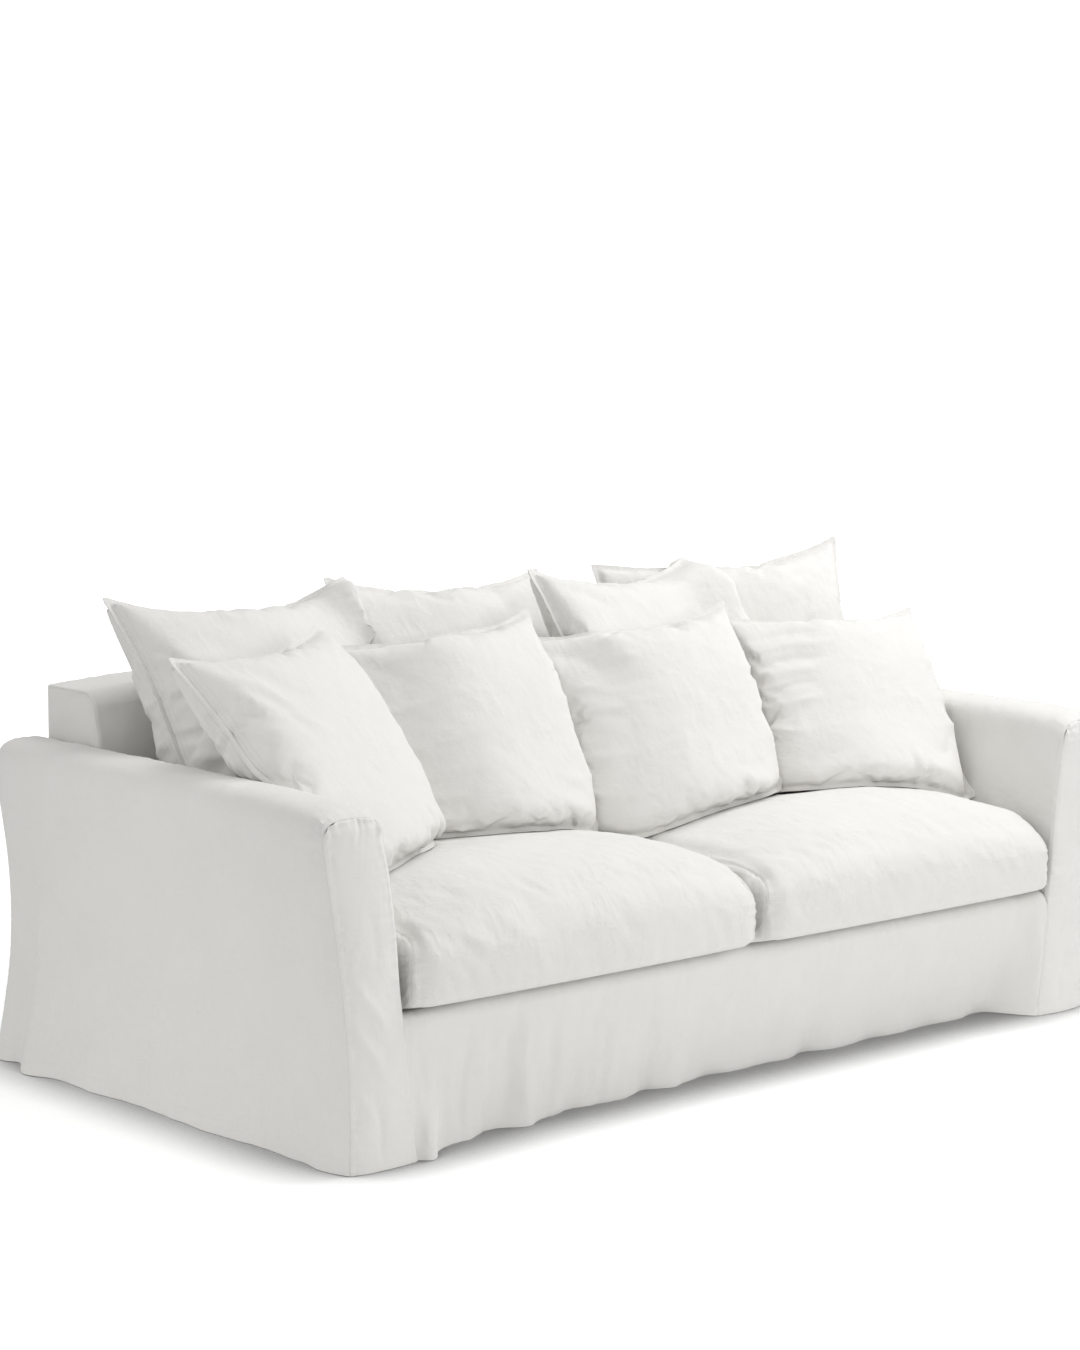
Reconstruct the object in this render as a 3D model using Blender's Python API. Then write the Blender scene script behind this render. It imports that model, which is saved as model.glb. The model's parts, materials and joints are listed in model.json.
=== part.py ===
"""A loose linen cover for a two-seat sofa, with its box seat cushions and its scatter cushions.

The cover hangs as it would on its sofa: arms, back and skirt are thin sewn panels round an empty
inside. The two seat cushions and the eight scatter cushions are filled solids lying in their places.

The sofa faces -Y, +X is to its right as the camera sees it, and the hem touches Z = 0. The shapes
are worked out with Y = 0 at the front of the arms, and the last step brings the origin under the
middle of the whole set.
"""
import math
from collections import namedtuple

import bmesh
import bpy
from mathutils import Matrix, Vector
from mathutils.bvhtree import BVHTree

# Driving dimensions, in metres
CLOTH = 0.003              # washed linen with its seam allowance turned under
SEAM = 0.0003              # between two pieces sewn edge to edge
DEPTH = 1.04               # front of the arms to the outside back
DECK = 0.253               # top of the seat deck above the floor
DECK_FRONT = 0.17          # where the skirt panel ends and the deck begins
ARM_SHOULDER = 0.555       # height at which the rolled top of an arm begins
ARM_ROLL = 0.050           # rise of the rolled top over the shoulder at the front seam
ARM_CROWN = 0.016          # how much fuller the roll is behind the front seam
ROLL_POWER = 3.0           # squareness of the roll: 2 is round, higher is flatter on top
FLARE_OUT = 0.045          # how far the arm's hem spreads from front to rear
FACING_PUFF = 0.010        # bulge of the arm's front facing
SKIRT_ROLL = 0.030         # radius of the skirt's soft upper edge
SKIRT_SETBACK = 0.078      # how far the skirt's hem hangs behind the arm fronts
BACK_FOOT = 0.800          # the inside back's foot, behind the arm fronts
BACK_HALF = 0.880          # half the width of the back above the arms
BACK_TOP = 0.716           # top of the back at its ends
BACK_CROWN = 0.020         # how much higher it is in the middle
BACK_CORNER = 0.042        # radius of the back's upper front edge
REAR_FLARE = 0.030         # how far the outside back's hem stands out

# Half the width of the sofa, over the outside and the inside of an arm, at each height
ArmRow = namedtuple("ArmRow", "height outside inside")
ARM_SIDES = (
    ArmRow(0.000, 0.948, 0.798),
    ArmRow(0.090, 0.947, 0.811),
    ArmRow(0.200, 0.950, 0.822),
    ArmRow(0.300, 0.960, 0.834),
    ArmRow(0.400, 0.973, 0.842),
    ArmRow(0.500, 0.989, 0.855),
    ArmRow(0.555, 0.997, 0.865),
)
# Heights at which the upright panels have a row of points, hem to shoulder; the fifth is where the
# skirt's soft edge begins
SKIRT_UPRIGHT = DECK - SKIRT_ROLL
SIDE_ROWS = (0.0, 0.045, 0.100, 0.165, SKIRT_UPRIGHT, 0.330, 0.410, 0.490, ARM_SHOULDER)
ROWS_BELOW_DECK = 4

# Soft upright folds: where along the panel, how far out, how wide, how high they reach
Fold = namedtuple("Fold", "place out width reach")
ARM_FOLDS = (
    Fold(0.06, 0.006, 0.030, 0.30),
    Fold(0.22, -0.005, 0.060, 0.35),
    Fold(0.38, 0.006, 0.070, 0.30),
    Fold(0.60, -0.004, 0.060, 0.30),
    Fold(0.72, 0.007, 0.050, 0.35),
    Fold(0.90, 0.026, 0.045, 0.36),
    Fold(0.98, -0.016, 0.030, 0.30),
)
SKIRT_FOLDS = (
    Fold(-0.735, 0.024, 0.030, 0.21),
    Fold(-0.655, -0.012, 0.030, 0.22),
    Fold(-0.590, 0.016, 0.035, 0.24),
    Fold(-0.500, 0.022, 0.035, 0.22),
    Fold(-0.390, -0.014, 0.040, 0.20),
    Fold(-0.290, 0.014, 0.040, 0.20),
    Fold(-0.160, 0.008, 0.040, 0.16),
    Fold(0.060, 0.006, 0.060, 0.18),
    Fold(0.330, -0.006, 0.060, 0.16),
    Fold(0.520, 0.010, 0.050, 0.18),
    Fold(0.680, -0.008, 0.040, 0.20),
    Fold(0.755, 0.012, 0.030, 0.22),
)
REAR_FOLDS = (
    Fold(-0.72, 0.010, 0.060, 0.40),
    Fold(-0.45, -0.008, 0.070, 0.35),
    Fold(-0.15, 0.008, 0.080, 0.35),
    Fold(0.12, -0.006, 0.070, 0.30),
    Fold(0.42, 0.009, 0.080, 0.40),
    Fold(0.70, -0.007, 0.060, 0.35),
)

# The inside back's slope: distance behind the arm fronts at each height
SlopeRow = namedtuple("SlopeRow", "height depth")
BACK_SLOPE = (
    SlopeRow(DECK, BACK_FOOT),
    SlopeRow(0.400, 0.818),
    SlopeRow(0.600, 0.851),
    SlopeRow(0.680, 0.872),
)

# Top of a seat cushion along its middle, from its front edge to its rear edge
SeatRow = namedtuple("SeatRow", "depth height")
SEAT_TOP = (
    SeatRow(-0.030, 0.418),
    SeatRow(0.030, 0.447),
    SeatRow(0.110, 0.467),
    SeatRow(0.200, 0.472),
    SeatRow(0.300, 0.462),
    SeatRow(0.420, 0.446),
    SeatRow(0.600, 0.430),
    SeatRow(0.796, 0.424),
)
SEAT_EDGE = 0.400          # the cushions' top seam at their ends
SEAT_BELLY = 0.022         # how far a cushion's front swells over the arm fronts
SEAT_FRONT = -0.020        # the cushions' front face at its corners
SEAT_REAR = 0.796
SEAT_END = 0.826           # half the width over both cushions
SEAT_MIDDLE_GAP = 0.003    # half the slit between the two cushions
SEAT_ROUND = 0.040         # rounding of a seat cushion's upper edges
SEAT_CORNER = 0.012        # how far its upright corners draw in

# Scatter cushions: the middle of the lower edge, the turn about the upright, the lean back and the
# roll to the right in degrees, the size of the case, the filling's thickness, how far the two
# upper ears stand up, the bow of the whole cushion over what it leans on and its twist, which
# tips the upper left corner back and the upper right one forward
Scatter = namedtuple(
    "Scatter", "name x y z turn lean roll width height thick ear_left ear_right bow twist")
SCATTER = (
    Scatter("back_cushion_2", -0.050, 0.640, 0.434, 2, 25, 0, 0.568, 0.509, 0.200, 0.018, 0.010, 0.02, -0.04),
    Scatter("back_cushion_4", 0.580, 0.585, 0.434, -18, 19, -2, 0.570, 0.505, 0.190, 0.004, 0.022, 0.02, 0.04),
    Scatter("back_cushion_1", -0.568, 0.596, 0.436, 12, 29, 3, 0.568, 0.512, 0.200, 0.018, 0.016, 0.02, 0.00),
    Scatter("back_cushion_3", 0.320, 0.500, 0.438, 10, 26, 1, 0.530, 0.511, 0.160, 0.014, 0.022, 0.02, -0.10),
    Scatter("front_cushion_4", 0.615, 0.282, 0.446, -10, 31, 3, 0.476, 0.420, 0.170, 0.004, 0.016, 0.02, 0.00),
    Scatter("front_cushion_3", 0.175, 0.355, 0.444, -7, 27, -2, 0.478, 0.420, 0.170, 0.004, 0.018, 0.02, 0.05),
    Scatter("front_cushion_2", -0.275, 0.400, 0.444, -2, 27, -1, 0.475, 0.437, 0.170, 0.006, 0.018, 0.02, 0.00),
    Scatter("front_cushion_1", -0.625, 0.332, 0.456, 26, 32, 1, 0.472, 0.448, 0.170, 0.012, 0.016, 0.02, 0.08),
)
FLANGE = 0.009             # flat stitched edge round a scatter cushion
EDGE_DIP = 0.050           # how far its edges draw in between the ears, as part of the half size
SQUASH = 0.45              # most of its thickness that a cushion loses where it is pressed
PUSH_MOST = 0.45           # how far in front of a cushion the search for what is behind it starts
DROOP = 0.020              # most that a cushion's lower edge sinks where the seat falls away
CONTACT = 0.0006           # between a cushion and what it lies on
SETTLE_STEPS = 60          # most such steps that a face is eased out of its neighbour

LINEN = (0.80, 0.80, 0.775)


# ---- reading tables and small shapes -------------------------------------------------------------

def smooth(value):
    """Ease from 0 to 1."""
    value = min(max(value, 0.0), 1.0)
    return value * value * (3.0 - 2.0 * value)


def read(rows, column, place):
    """A value from a table's column, on a smooth curve through its rows; the first column is the place."""
    places = [row[0] for row in rows]
    values = [getattr(row, column) for row in rows]
    place = min(max(place, places[0]), places[-1])
    index = max(i for i in range(len(rows) - 1) if places[i] <= place)

    def slope(i):
        low, high = max(i - 1, 0), min(i + 1, len(rows) - 1)
        return (values[high] - values[low]) / (places[high] - places[low])

    span = places[index + 1] - places[index]
    part = (place - places[index]) / span
    start, end = values[index], values[index + 1]
    rise = slope(index) * span
    fall = slope(index + 1) * span
    return (start * (2 * part ** 3 - 3 * part ** 2 + 1) + rise * (part ** 3 - 2 * part ** 2 + part)
            + end * (3 * part ** 2 - 2 * part ** 3) + fall * (part ** 3 - part ** 2))


def folds(rows, along, height):
    """How far a panel stands out at a place, from its table of folds."""
    out = 0.0
    for fold in rows:
        if height < fold.reach:
            fade = (1.0 - height / fold.reach) ** 1.3
            out += fold.out * fade * math.exp(-((along - fold.place) / fold.width) ** 2)
    return out


def spread(first, last, count):
    """count + 1 evenly spaced values."""
    return [first + (last - first) * i / count for i in range(count + 1)]


# ---- making objects ------------------------------------------------------------------------------

def linen(name, shade=1.0):
    """Off-white washed linen, dry and without gloss."""
    material = bpy.data.materials.new(name)
    material.use_nodes = True
    finish = material.node_tree.nodes["Principled BSDF"]
    finish.inputs["Base Color"].default_value = (*(c * shade for c in LINEN), 1.0)
    finish.inputs["Roughness"].default_value = 0.92
    finish.inputs["Metallic"].default_value = 0.0
    return material


def finish_object(name, mesh_data, shade=1.0):
    """Turn finished mesh data into a named object with its own material."""
    bmesh.ops.recalc_face_normals(mesh_data, faces=mesh_data.faces)
    bmesh.ops.triangulate(mesh_data, faces=mesh_data.faces)
    mesh = bpy.data.meshes.new(name)
    mesh_data.to_mesh(mesh)
    mesh_data.free()
    mesh.shade_smooth()
    mesh.set_sharp_from_angle(angle=math.radians(50))
    piece = bpy.data.objects.new(name, mesh)
    piece.data.materials.append(linen(f"linen_{name}", shade))
    bpy.context.scene.collection.objects.link(piece)
    return piece


def outward(surface, across, along, turned):
    """The unit normal of a surface function, by small steps to either side."""
    step = 1e-4
    by_across = surface(across + step, along) - surface(across - step, along)
    by_along = surface(across, along + step) - surface(across, along - step)
    normal = by_across.cross(by_along).normalized()
    return -normal if turned else normal


def panel(name, surface, across, along, turned=False, shade=1.0):
    """A sheet of cloth: surface gives its outer face, and the inner face lies one cloth inside it."""
    data = bmesh.new()
    outer = []
    inner = []
    for a in across:
        outer_row = []
        inner_row = []
        for b in along:
            point = surface(a, b)
            outer_row.append(data.verts.new(point))
            inner_row.append(data.verts.new(point - outward(surface, a, b, turned) * CLOTH))
        outer.append(outer_row)
        inner.append(inner_row)
    last_a, last_b = len(across) - 1, len(along) - 1
    for grid in (outer, inner):
        for i in range(last_a):
            for j in range(last_b):
                data.faces.new((grid[i][j], grid[i + 1][j], grid[i + 1][j + 1], grid[i][j + 1]))
    rim = [(i, 0) for i in range(last_a)] + [(last_a, j) for j in range(last_b)]
    rim += [(i, last_b) for i in range(last_a, 0, -1)] + [(0, j) for j in range(last_b, 0, -1)]
    for (i, j), (k, m) in zip(rim, rim[1:] + rim[:1]):
        data.faces.new((outer[i][j], outer[k][m], inner[k][m], inner[i][j]))
    return finish_object(name, data, shade)


# ---- arms ----------------------------------------------------------------------------------------

def arm_roll(depth):
    """Rise of the rolled top over the shoulder at a distance behind the front seam."""
    return ARM_ROLL + ARM_CROWN * (1.0 - math.exp(-max(depth, 0.0) / 0.07))


def wall_foot(depth):
    """Height of the inside arm's lower edge, which follows the skirt's rolled edge and the deck."""
    clear = SKIRT_ROLL + 3.0 * SEAM
    before = max(SKIRT_ROLL - max(depth, 0.0), 0.0)
    return SKIRT_UPRIGHT + math.sqrt(clear ** 2 - before ** 2)


def rear_plane(across, height):
    """Distance of the outside back behind the arm fronts, with its flare and folds."""
    flare = REAR_FLARE * (1.0 - smooth(height / 0.45)) ** 1.5
    edge_fade = smooth((0.93 - abs(across)) / 0.10)
    return DEPTH + flare + edge_fade * folds(REAR_FOLDS, across, height)


def arm_outline(around, depth, foot):
    """Half width and height round an arm's section: 0 outside hem, 1 to 2 over the roll, 3 inside foot."""
    if around <= 1.0:
        height = read_rows(around, SIDE_ROWS)
        spread_out = FLARE_OUT * depth / DEPTH * (1.0 - height / ARM_SHOULDER) ** 2.2
        fade = smooth(depth / 0.04) * smooth((DEPTH - depth - 0.018) / 0.04)
        creased = fade * folds(ARM_FOLDS, depth, height)
        return read(ARM_SIDES, "outside", height) + spread_out + creased, height
    if around >= 2.0:
        rows = (foot,) + SIDE_ROWS[ROWS_BELOW_DECK + 1:] if foot > 0.0 else SIDE_ROWS
        height = read_rows(3.0 - around, rows)
        return read(ARM_SIDES, "inside", height), height
    shoulder = ARM_SIDES[-1]
    middle = 0.5 * (shoulder.outside + shoulder.inside)
    half = 0.5 * (shoulder.outside - shoulder.inside)
    angle = math.pi * (around - 1.0)
    cosine, sine = math.cos(angle), math.sin(angle)
    across = half * math.copysign(abs(cosine) ** (2.0 / ROLL_POWER), cosine)
    return middle + across, ARM_SHOULDER + arm_roll(depth) * max(sine, 0.0) ** (2.0 / ROLL_POWER)


def read_rows(part, rows):
    """The height at a part of the way up a list of rows, each taking an equal share of the way."""
    place = min(max(part, 0.0), 1.0) * (len(rows) - 1)
    index = min(int(place), len(rows) - 2)
    return rows[index] + (rows[index + 1] - rows[index]) * (place - index)


def arm_surface(side):
    """The arm panel's outer face: one length of cloth from the outside hem over to the deck."""
    def surface(around, along):
        reach = min(max(along, 0.0), 1.0)
        depth = reach * DEPTH
        half, height = arm_outline(around, depth, wall_foot(depth))
        rear = rear_plane(side * half, height)
        behind_back = smooth((around - 1.55) / 0.12) * (CLOTH + 2.0 * SEAM)
        return Vector((side * half, along * (rear - behind_back), height))
    return surface


ROLL_STEPS = 9
OUTSIDE_PARTS = spread(0.0, 1.0, len(SIDE_ROWS) - 1)
ROLL_PARTS = spread(1.0, 2.0, ROLL_STEPS)
INSIDE_STEPS = len(SIDE_ROWS) - ROWS_BELOW_DECK - 1
ARM_AROUND = OUTSIDE_PARTS + ROLL_PARTS[1:] + spread(2.0, 3.0, INSIDE_STEPS)[1:]
ROLL_OVER_STEPS = 3        # facets of the skirt's rolled edge, which the arm's lower edge follows
ROLL_OVER = [math.pi / 2.0 * i / ROLL_OVER_STEPS for i in range(1, ROLL_OVER_STEPS + 1)]
ARM_ALONG = [0.0] + [SKIRT_ROLL * (1.0 - math.cos(turn)) / DEPTH for turn in ROLL_OVER]
ARM_ALONG += [0.07, 0.13, 0.20, 0.27, 0.34, 0.42, 0.50, 0.57, 0.63, 0.69, 0.75, 0.80, 0.84, 0.88,
              0.92, 0.955, 0.982, 1.0]


def inset_edge(surface, around, along, turned, extra=0.0):
    """A point just inside a wrapped panel, where an end panel's edge is sewn."""
    return surface(around, along) - outward(surface, around, along, turned) * (CLOTH + SEAM + extra)


def arm_inset(around, depth):
    """Half width and height of the edge of an end panel, sewn just inside the arm's section."""
    step = 1e-4
    here = Vector(arm_outline(around, depth, 0.0))
    run = (Vector(arm_outline(around + step, depth, 0.0)) - Vector(arm_outline(around - step, depth, 0.0)))
    run.normalize()
    return here + Vector((-run.y, run.x)) * (CLOTH + SEAM)


def make_arm(side, name):
    """The length of cloth over an arm, and the facing sewn into its front."""
    def facing(part, across):
        point = arm_inset(part, 0.0).lerp(arm_inset(3.0 - part, 0.0), across)
        puff = FACING_PUFF * math.sin(math.pi * across) * smooth((1.5 - part) / 0.5)
        return Vector((side * point.x, -puff, max(point.y, 0.0)))

    rows = OUTSIDE_PARTS + ROLL_PARTS[1:(ROLL_STEPS + 1) // 2]
    flat_sheet(f"{name}_facing", facing, rows, spread(0.0, 1.0, 4), Vector((0.0, 1.0, 0.0)), 0.97)
    return panel(f"{name}_cover", arm_surface(side), ARM_AROUND, ARM_ALONG, turned=side > 0)


def flat_sheet(name, surface, across, along, inward, shade=1.0):
    """A panel whose thickness runs one way, so that its edges stay where they are sewn."""
    data = bmesh.new()
    grids = []
    for shift in (Vector((0.0, 0.0, 0.0)), inward * CLOTH):
        grids.append([[data.verts.new(surface(a, b) + shift) for b in along] for a in across])
    last_a, last_b = len(across) - 1, len(along) - 1
    for grid in grids:
        for i in range(last_a):
            for j in range(last_b):
                data.faces.new((grid[i][j], grid[i + 1][j], grid[i + 1][j + 1], grid[i][j + 1]))
    outer, inner = grids
    rim = [(i, 0) for i in range(last_a)] + [(last_a, j) for j in range(last_b)]
    rim += [(i, last_b) for i in range(last_a, 0, -1)] + [(0, j) for j in range(last_b, 0, -1)]
    for (i, j), (k, m) in zip(rim, rim[1:] + rim[:1]):
        data.faces.new((outer[i][j], outer[k][m], inner[k][m], inner[i][j]))
    return finish_object(name, data, shade)


# ---- skirt and deck ------------------------------------------------------------------------------

def skirt_surface(across, up):
    """The skirt panel: up runs 0 to 1 from the hem, 1 to 2 over the soft edge, 2 to 3 back to the deck."""
    place = min(max(across, -1.0), 1.0)
    height = read_rows(up, SIDE_ROWS[:ROWS_BELOW_DECK + 1])
    angle = 0.5 * math.pi * min(max(up - 1.0, 0.0), 1.0)
    over = SKIRT_ROLL * math.sin(angle)
    half = read(ARM_SIDES, "inside", height + over) + CLOTH - SEAM
    x = across * half
    centre = smooth((1.0 - abs(place)) / 0.22)
    low = 1.0 - height / SKIRT_UPRIGHT
    setback = centre * (0.030 + (SKIRT_SETBACK - 0.030) * low)
    out = folds(SKIRT_FOLDS, x, height) * smooth((1.0 - abs(place)) / 0.03)
    front = setback - out
    if up <= 1.0:
        return Vector((x, front, height))
    if up <= 2.0:
        return Vector((x, front + SKIRT_ROLL * (1.0 - math.cos(angle)), SKIRT_UPRIGHT + over))
    start = front + SKIRT_ROLL
    return Vector((x, start + (DECK_FRONT - start) * (up - 2.0), DECK))


def make_skirt():
    across = spread(-1.0, 1.0, 34)
    up = spread(0.0, 1.0, ROWS_BELOW_DECK) + spread(1.0, 2.0, ROLL_OVER_STEPS)[1:] + [3.0]
    panel("skirt_panel", skirt_surface, across, up)


def make_deck():
    half = read(ARM_SIDES, "inside", DECK) + CLOTH

    def surface(across, along):
        return Vector((across, along, DECK))

    flat_sheet("seat_deck", surface, spread(-half, half, 6),
               spread(DECK_FRONT + SEAM, BACK_FOOT + CLOTH, 3), Vector((0.0, 0.0, -1.0)), 0.96)


# ---- back ----------------------------------------------------------------------------------------

def back_top(across):
    """Height of the back's top, highest in the middle."""
    return BACK_TOP + BACK_CROWN * (1.0 - (across / BACK_HALF) ** 4)


def arm_top_at(half, depth):
    """Height of an arm's rolled top over a place across it."""
    shoulder = ARM_SIDES[-1]
    middle = 0.5 * (shoulder.outside + shoulder.inside)
    reach = 0.5 * (shoulder.outside - shoulder.inside)
    part = min(abs(half - middle) / reach, 1.0)
    return ARM_SHOULDER + arm_roll(depth) * (1.0 - part ** ROLL_POWER) ** (1.0 / ROLL_POWER)


ARM_REST = ARM_SHOULDER + 0.062    # height at which the back widens over the arms


def inside_back_surface(across, up):
    """The inside back: up runs 0 to 1 up the slope, 1 to 2 over the edge, 2 to 3 across the top."""
    slope_top = BACK_SLOPE[-1]
    foot = DECK + 3.0 * SEAM
    height = foot + (slope_top.height - foot) * min(max(up, 0.0), 1.0)
    between_arms = read(ARM_SIDES, "inside", height) - 5.0 * SEAM
    half = between_arms + (BACK_HALF - between_arms) * smooth((height - ARM_REST) / 0.012)
    x = across * half
    lift = (back_top(x) - BACK_TOP) * smooth((height - 0.55) / 0.13)
    if up <= 1.0:
        return Vector((x, read(BACK_SLOPE, "depth", height), height + lift))
    rise = BACK_TOP - slope_top.height
    edge = slope_top.depth + BACK_CORNER
    if up <= 2.0:
        angle = 0.5 * math.pi * (up - 1.0)
        return Vector((x, slope_top.depth + BACK_CORNER * (1.0 - math.cos(angle)),
                       slope_top.height + rise * math.sin(angle) + lift))
    return Vector((x, edge + (DEPTH - edge) * (up - 2.0), BACK_TOP + lift))


BACK_ACROSS = [-1.0, -0.985] + spread(-0.93, 0.93, 18) + [0.985, 1.0]
BACK_SLOPE_PARTS = [0.0, 0.22, 0.44, 0.66, 0.845, 0.880, 1.0]
BACK_EDGE_PARTS = [1.33, 1.67, 2.0]


def make_back():
    """The inside back, its two boxed ends and the outside back; the first is what cushions lean on."""
    for side, name in ((-1, "back_end_left"), (1, "back_end_right")):
        make_back_end(side, name)
    make_outside_back()
    up = BACK_SLOPE_PARTS + BACK_EDGE_PARTS + [2.5, 3.0]
    return panel("inside_back", inside_back_surface, BACK_ACROSS, up)


def make_back_end(side, name):
    """The boxed end of the back, standing on the arm."""
    def surface(up, along):
        front = inset_edge(inside_back_surface, side, up, False)
        low = arm_top_at(BACK_HALF, 0.9) + 4.0 * SEAM
        height = max(front.z, low) if up > BACK_SLOPE_PARTS[-2] else low
        depth = front.y + (DEPTH - CLOTH - SEAM - front.y) * along
        return Vector((side * BACK_HALF, depth, height))

    flat_sheet(name, surface, BACK_SLOPE_PARTS[-2:] + [1.33, 1.67, 1.98], spread(0.0, 1.0, 3),
               Vector((-side, 0.0, 0.0)), 0.97)


def make_outside_back():
    """The outside back: between the arms' rear edges, and up over them to the back's top."""
    inset = CLOTH + 2.0 * SEAM
    shoulder = ARM_SIDES[-1]
    edges = [arm_inset(part, DEPTH) for part in ROLL_PARTS]
    columns = [(edge.x, edge.y) for edge in edges if edge.x > BACK_HALF + 0.004]
    step_height = arm_top_at(BACK_HALF, DEPTH) - inset - SEAM
    columns.append((BACK_HALF + 0.002, step_height))
    middle = [(part * BACK_HALF, back_top(part * BACK_HALF) - inset) for part in BACK_ACROSS]
    tops = [(-half, height) for half, height in columns] + middle
    tops += [(half, height) for half, height in reversed(columns)]
    parts = [row / ARM_SHOULDER for row in SIDE_ROWS]

    def surface(column, part):
        top_x, top_z = tops[int(column)]
        height = part * top_z
        edge_height = min(part, 1.0) * ARM_SHOULDER
        outline = arm_outline(unread(edge_height), DEPTH, 0.0)[0] - 3.0 * SEAM
        full = shoulder.outside
        share = max(abs(top_x) - BACK_HALF, 0.0) / (full - BACK_HALF)
        x = math.copysign(abs(top_x) + (outline - full) * share, top_x)
        return Vector((x, rear_plane(x, height), height))

    flat_sheet("outside_back", surface, list(range(len(tops))), parts, Vector((0.0, -1.0, 0.0)))


def unread(height):
    """The part of the way up an arm's outside at which a height lies."""
    index = max(i for i in range(len(SIDE_ROWS) - 1) if SIDE_ROWS[i] <= height)
    part = (height - SIDE_ROWS[index]) / (SIDE_ROWS[index + 1] - SIDE_ROWS[index])
    return (index + part) / (len(SIDE_ROWS) - 1)


# ---- seat cushions -------------------------------------------------------------------------------

def seat_top(x, y):
    """Height of the seat cushions' top."""
    centre = 0.5 * (SEAT_END + SEAT_MIDDLE_GAP)
    half = 0.5 * (SEAT_END - SEAT_MIDDLE_GAP)
    part = min(abs(abs(x) - centre) / half, 1.0)
    crown = read(SEAT_TOP, "height", y)
    return SEAT_EDGE + (crown - SEAT_EDGE) * (1.0 - part ** 3.0)


def make_seat_cushion(side, name):
    """A boxed cushion: crowned top, front rolling over, and soft upright corners."""
    centre = 0.5 * (SEAT_END + SEAT_MIDDLE_GAP) * side
    half = 0.5 * (SEAT_END - SEAT_MIDDLE_GAP)
    length = SEAT_REAR - SEAT_FRONT
    across = [-1.0, -0.965, -0.88, -0.70, -0.45, -0.15, 0.15, 0.45, 0.70, 0.88, 0.965, 1.0]
    depths = [0.0, 0.03, 0.09, 0.17, 0.27, 0.39, 0.52, 0.66, 0.82, 0.95, 1.0]
    ups = [0.0, 0.10, 0.45, 0.80, 1.0]

    def place(a, b, c):
        """A point of the cushion: a across -1 to 1, b back 0 to 1, c up 0 to 1."""
        end = smooth((abs(a) - 0.88) / 0.12)
        front = 1.0 - smooth(b / 0.10)
        rear = smooth((b - 0.92) / 0.08)
        upper = max((c - 0.72) / 0.28, 0.0)
        lower = max(1.0 - c / 0.12, 0.0)
        pull = SEAT_ROUND * (1.0 - math.sqrt(1.0 - upper ** 2)) + 0.012 * lower ** 2
        bulge = math.sin(math.pi * (0.12 + 0.76 * c))
        x = centre + a * (half - 0.4 * pull * end - SEAT_CORNER * front * end)
        belly = SEAT_BELLY * (1.0 - a ** 4) * bulge * (1.0 - smooth(b / 0.25))
        y = SEAT_FRONT + b * length - belly
        y += (0.9 * pull + SEAT_CORNER * end) * front - (0.3 * pull + SEAT_CORNER * end) * rear
        top = seat_top(x, max(y, SEAT_TOP[0].depth)) - 0.028 * front - 0.012 * end * (1.0 - front)
        return Vector((x, y, DECK + SEAM + (top - DECK - SEAM) * c))

    data = bmesh.new()
    corners = {}

    def corner(i, j, k):
        if (i, j, k) not in corners:
            corners[i, j, k] = data.verts.new(place(across[i], depths[j], ups[k]))
        return corners[i, j, k]

    def skin(first, second, fixed, order):
        """The cushion's two opposite sides that lie across one axis."""
        for i in range(len(first) - 1):
            for j in range(len(second) - 1):
                for end in (0, len(fixed) - 1):
                    ring = ((i, j), (i + 1, j), (i + 1, j + 1), (i, j + 1))
                    data.faces.new([corner(*order(p, q, end)) for p, q in ring])

    skin(across, depths, ups, lambda p, q, end: (p, q, end))
    skin(across, ups, depths, lambda p, q, end: (p, end, q))
    skin(depths, ups, across, lambda p, q, end: (end, p, q))
    return finish_object(name, data, 1.02)


# ---- scatter cushions ----------------------------------------------------------------------------

def stance(row):
    """The cushion's own axes in the room: X along its width, Y to its rear, Z up its height."""
    turn = Matrix.Rotation(math.radians(row.turn), 4, "Z")
    lean = Matrix.Rotation(-math.radians(row.lean), 4, "X")
    roll = Matrix.Rotation(math.radians(row.roll), 4, "Y")
    return Matrix.Translation((row.x, row.y, row.z)) @ turn @ lean @ roll


def half_thickness(row, u, v):
    """Half the filling's thickness at a place on the face, u and v from -1 to 1."""
    sunk = v + 0.16 * (1.0 - v * v)
    fullness = max((1.0 - u * u) * (1.0 - sunk * sunk), 0.0)
    return 0.5 * row.thick * fullness ** 0.42 + 0.5 * CLOTH


def middle_point(row, u, v):
    """A point of the cushion's middle sheet in its own axes; u and v pass 1 by the flange."""
    inside_u = min(max(u, -1.0), 1.0)
    inside_v = min(max(v, -1.0), 1.0)
    half_width, half_height = 0.5 * row.width - FLANGE, 0.5 * row.height - FLANGE
    x = half_width * inside_u * (1.0 - EDGE_DIP * (1.0 - inside_v ** 2)) + (u - inside_u)
    z = half_height * inside_v * (1.0 - EDGE_DIP * (1.0 - inside_u ** 2)) + (v - inside_v)
    ear = row.ear_left if u < 0.0 else row.ear_right
    lift = ear * abs(inside_u) ** 5 * max(inside_v, 0.0) ** 5
    bend = row.bow * (inside_v ** 2 + 0.5 * inside_u ** 2)
    bend -= row.twist * inside_u * 0.25 * (inside_v + 1.0) * row.height
    return Vector((x + math.copysign(0.5 * lift, u), bend, z + half_height + FLANGE + lift))


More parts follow.
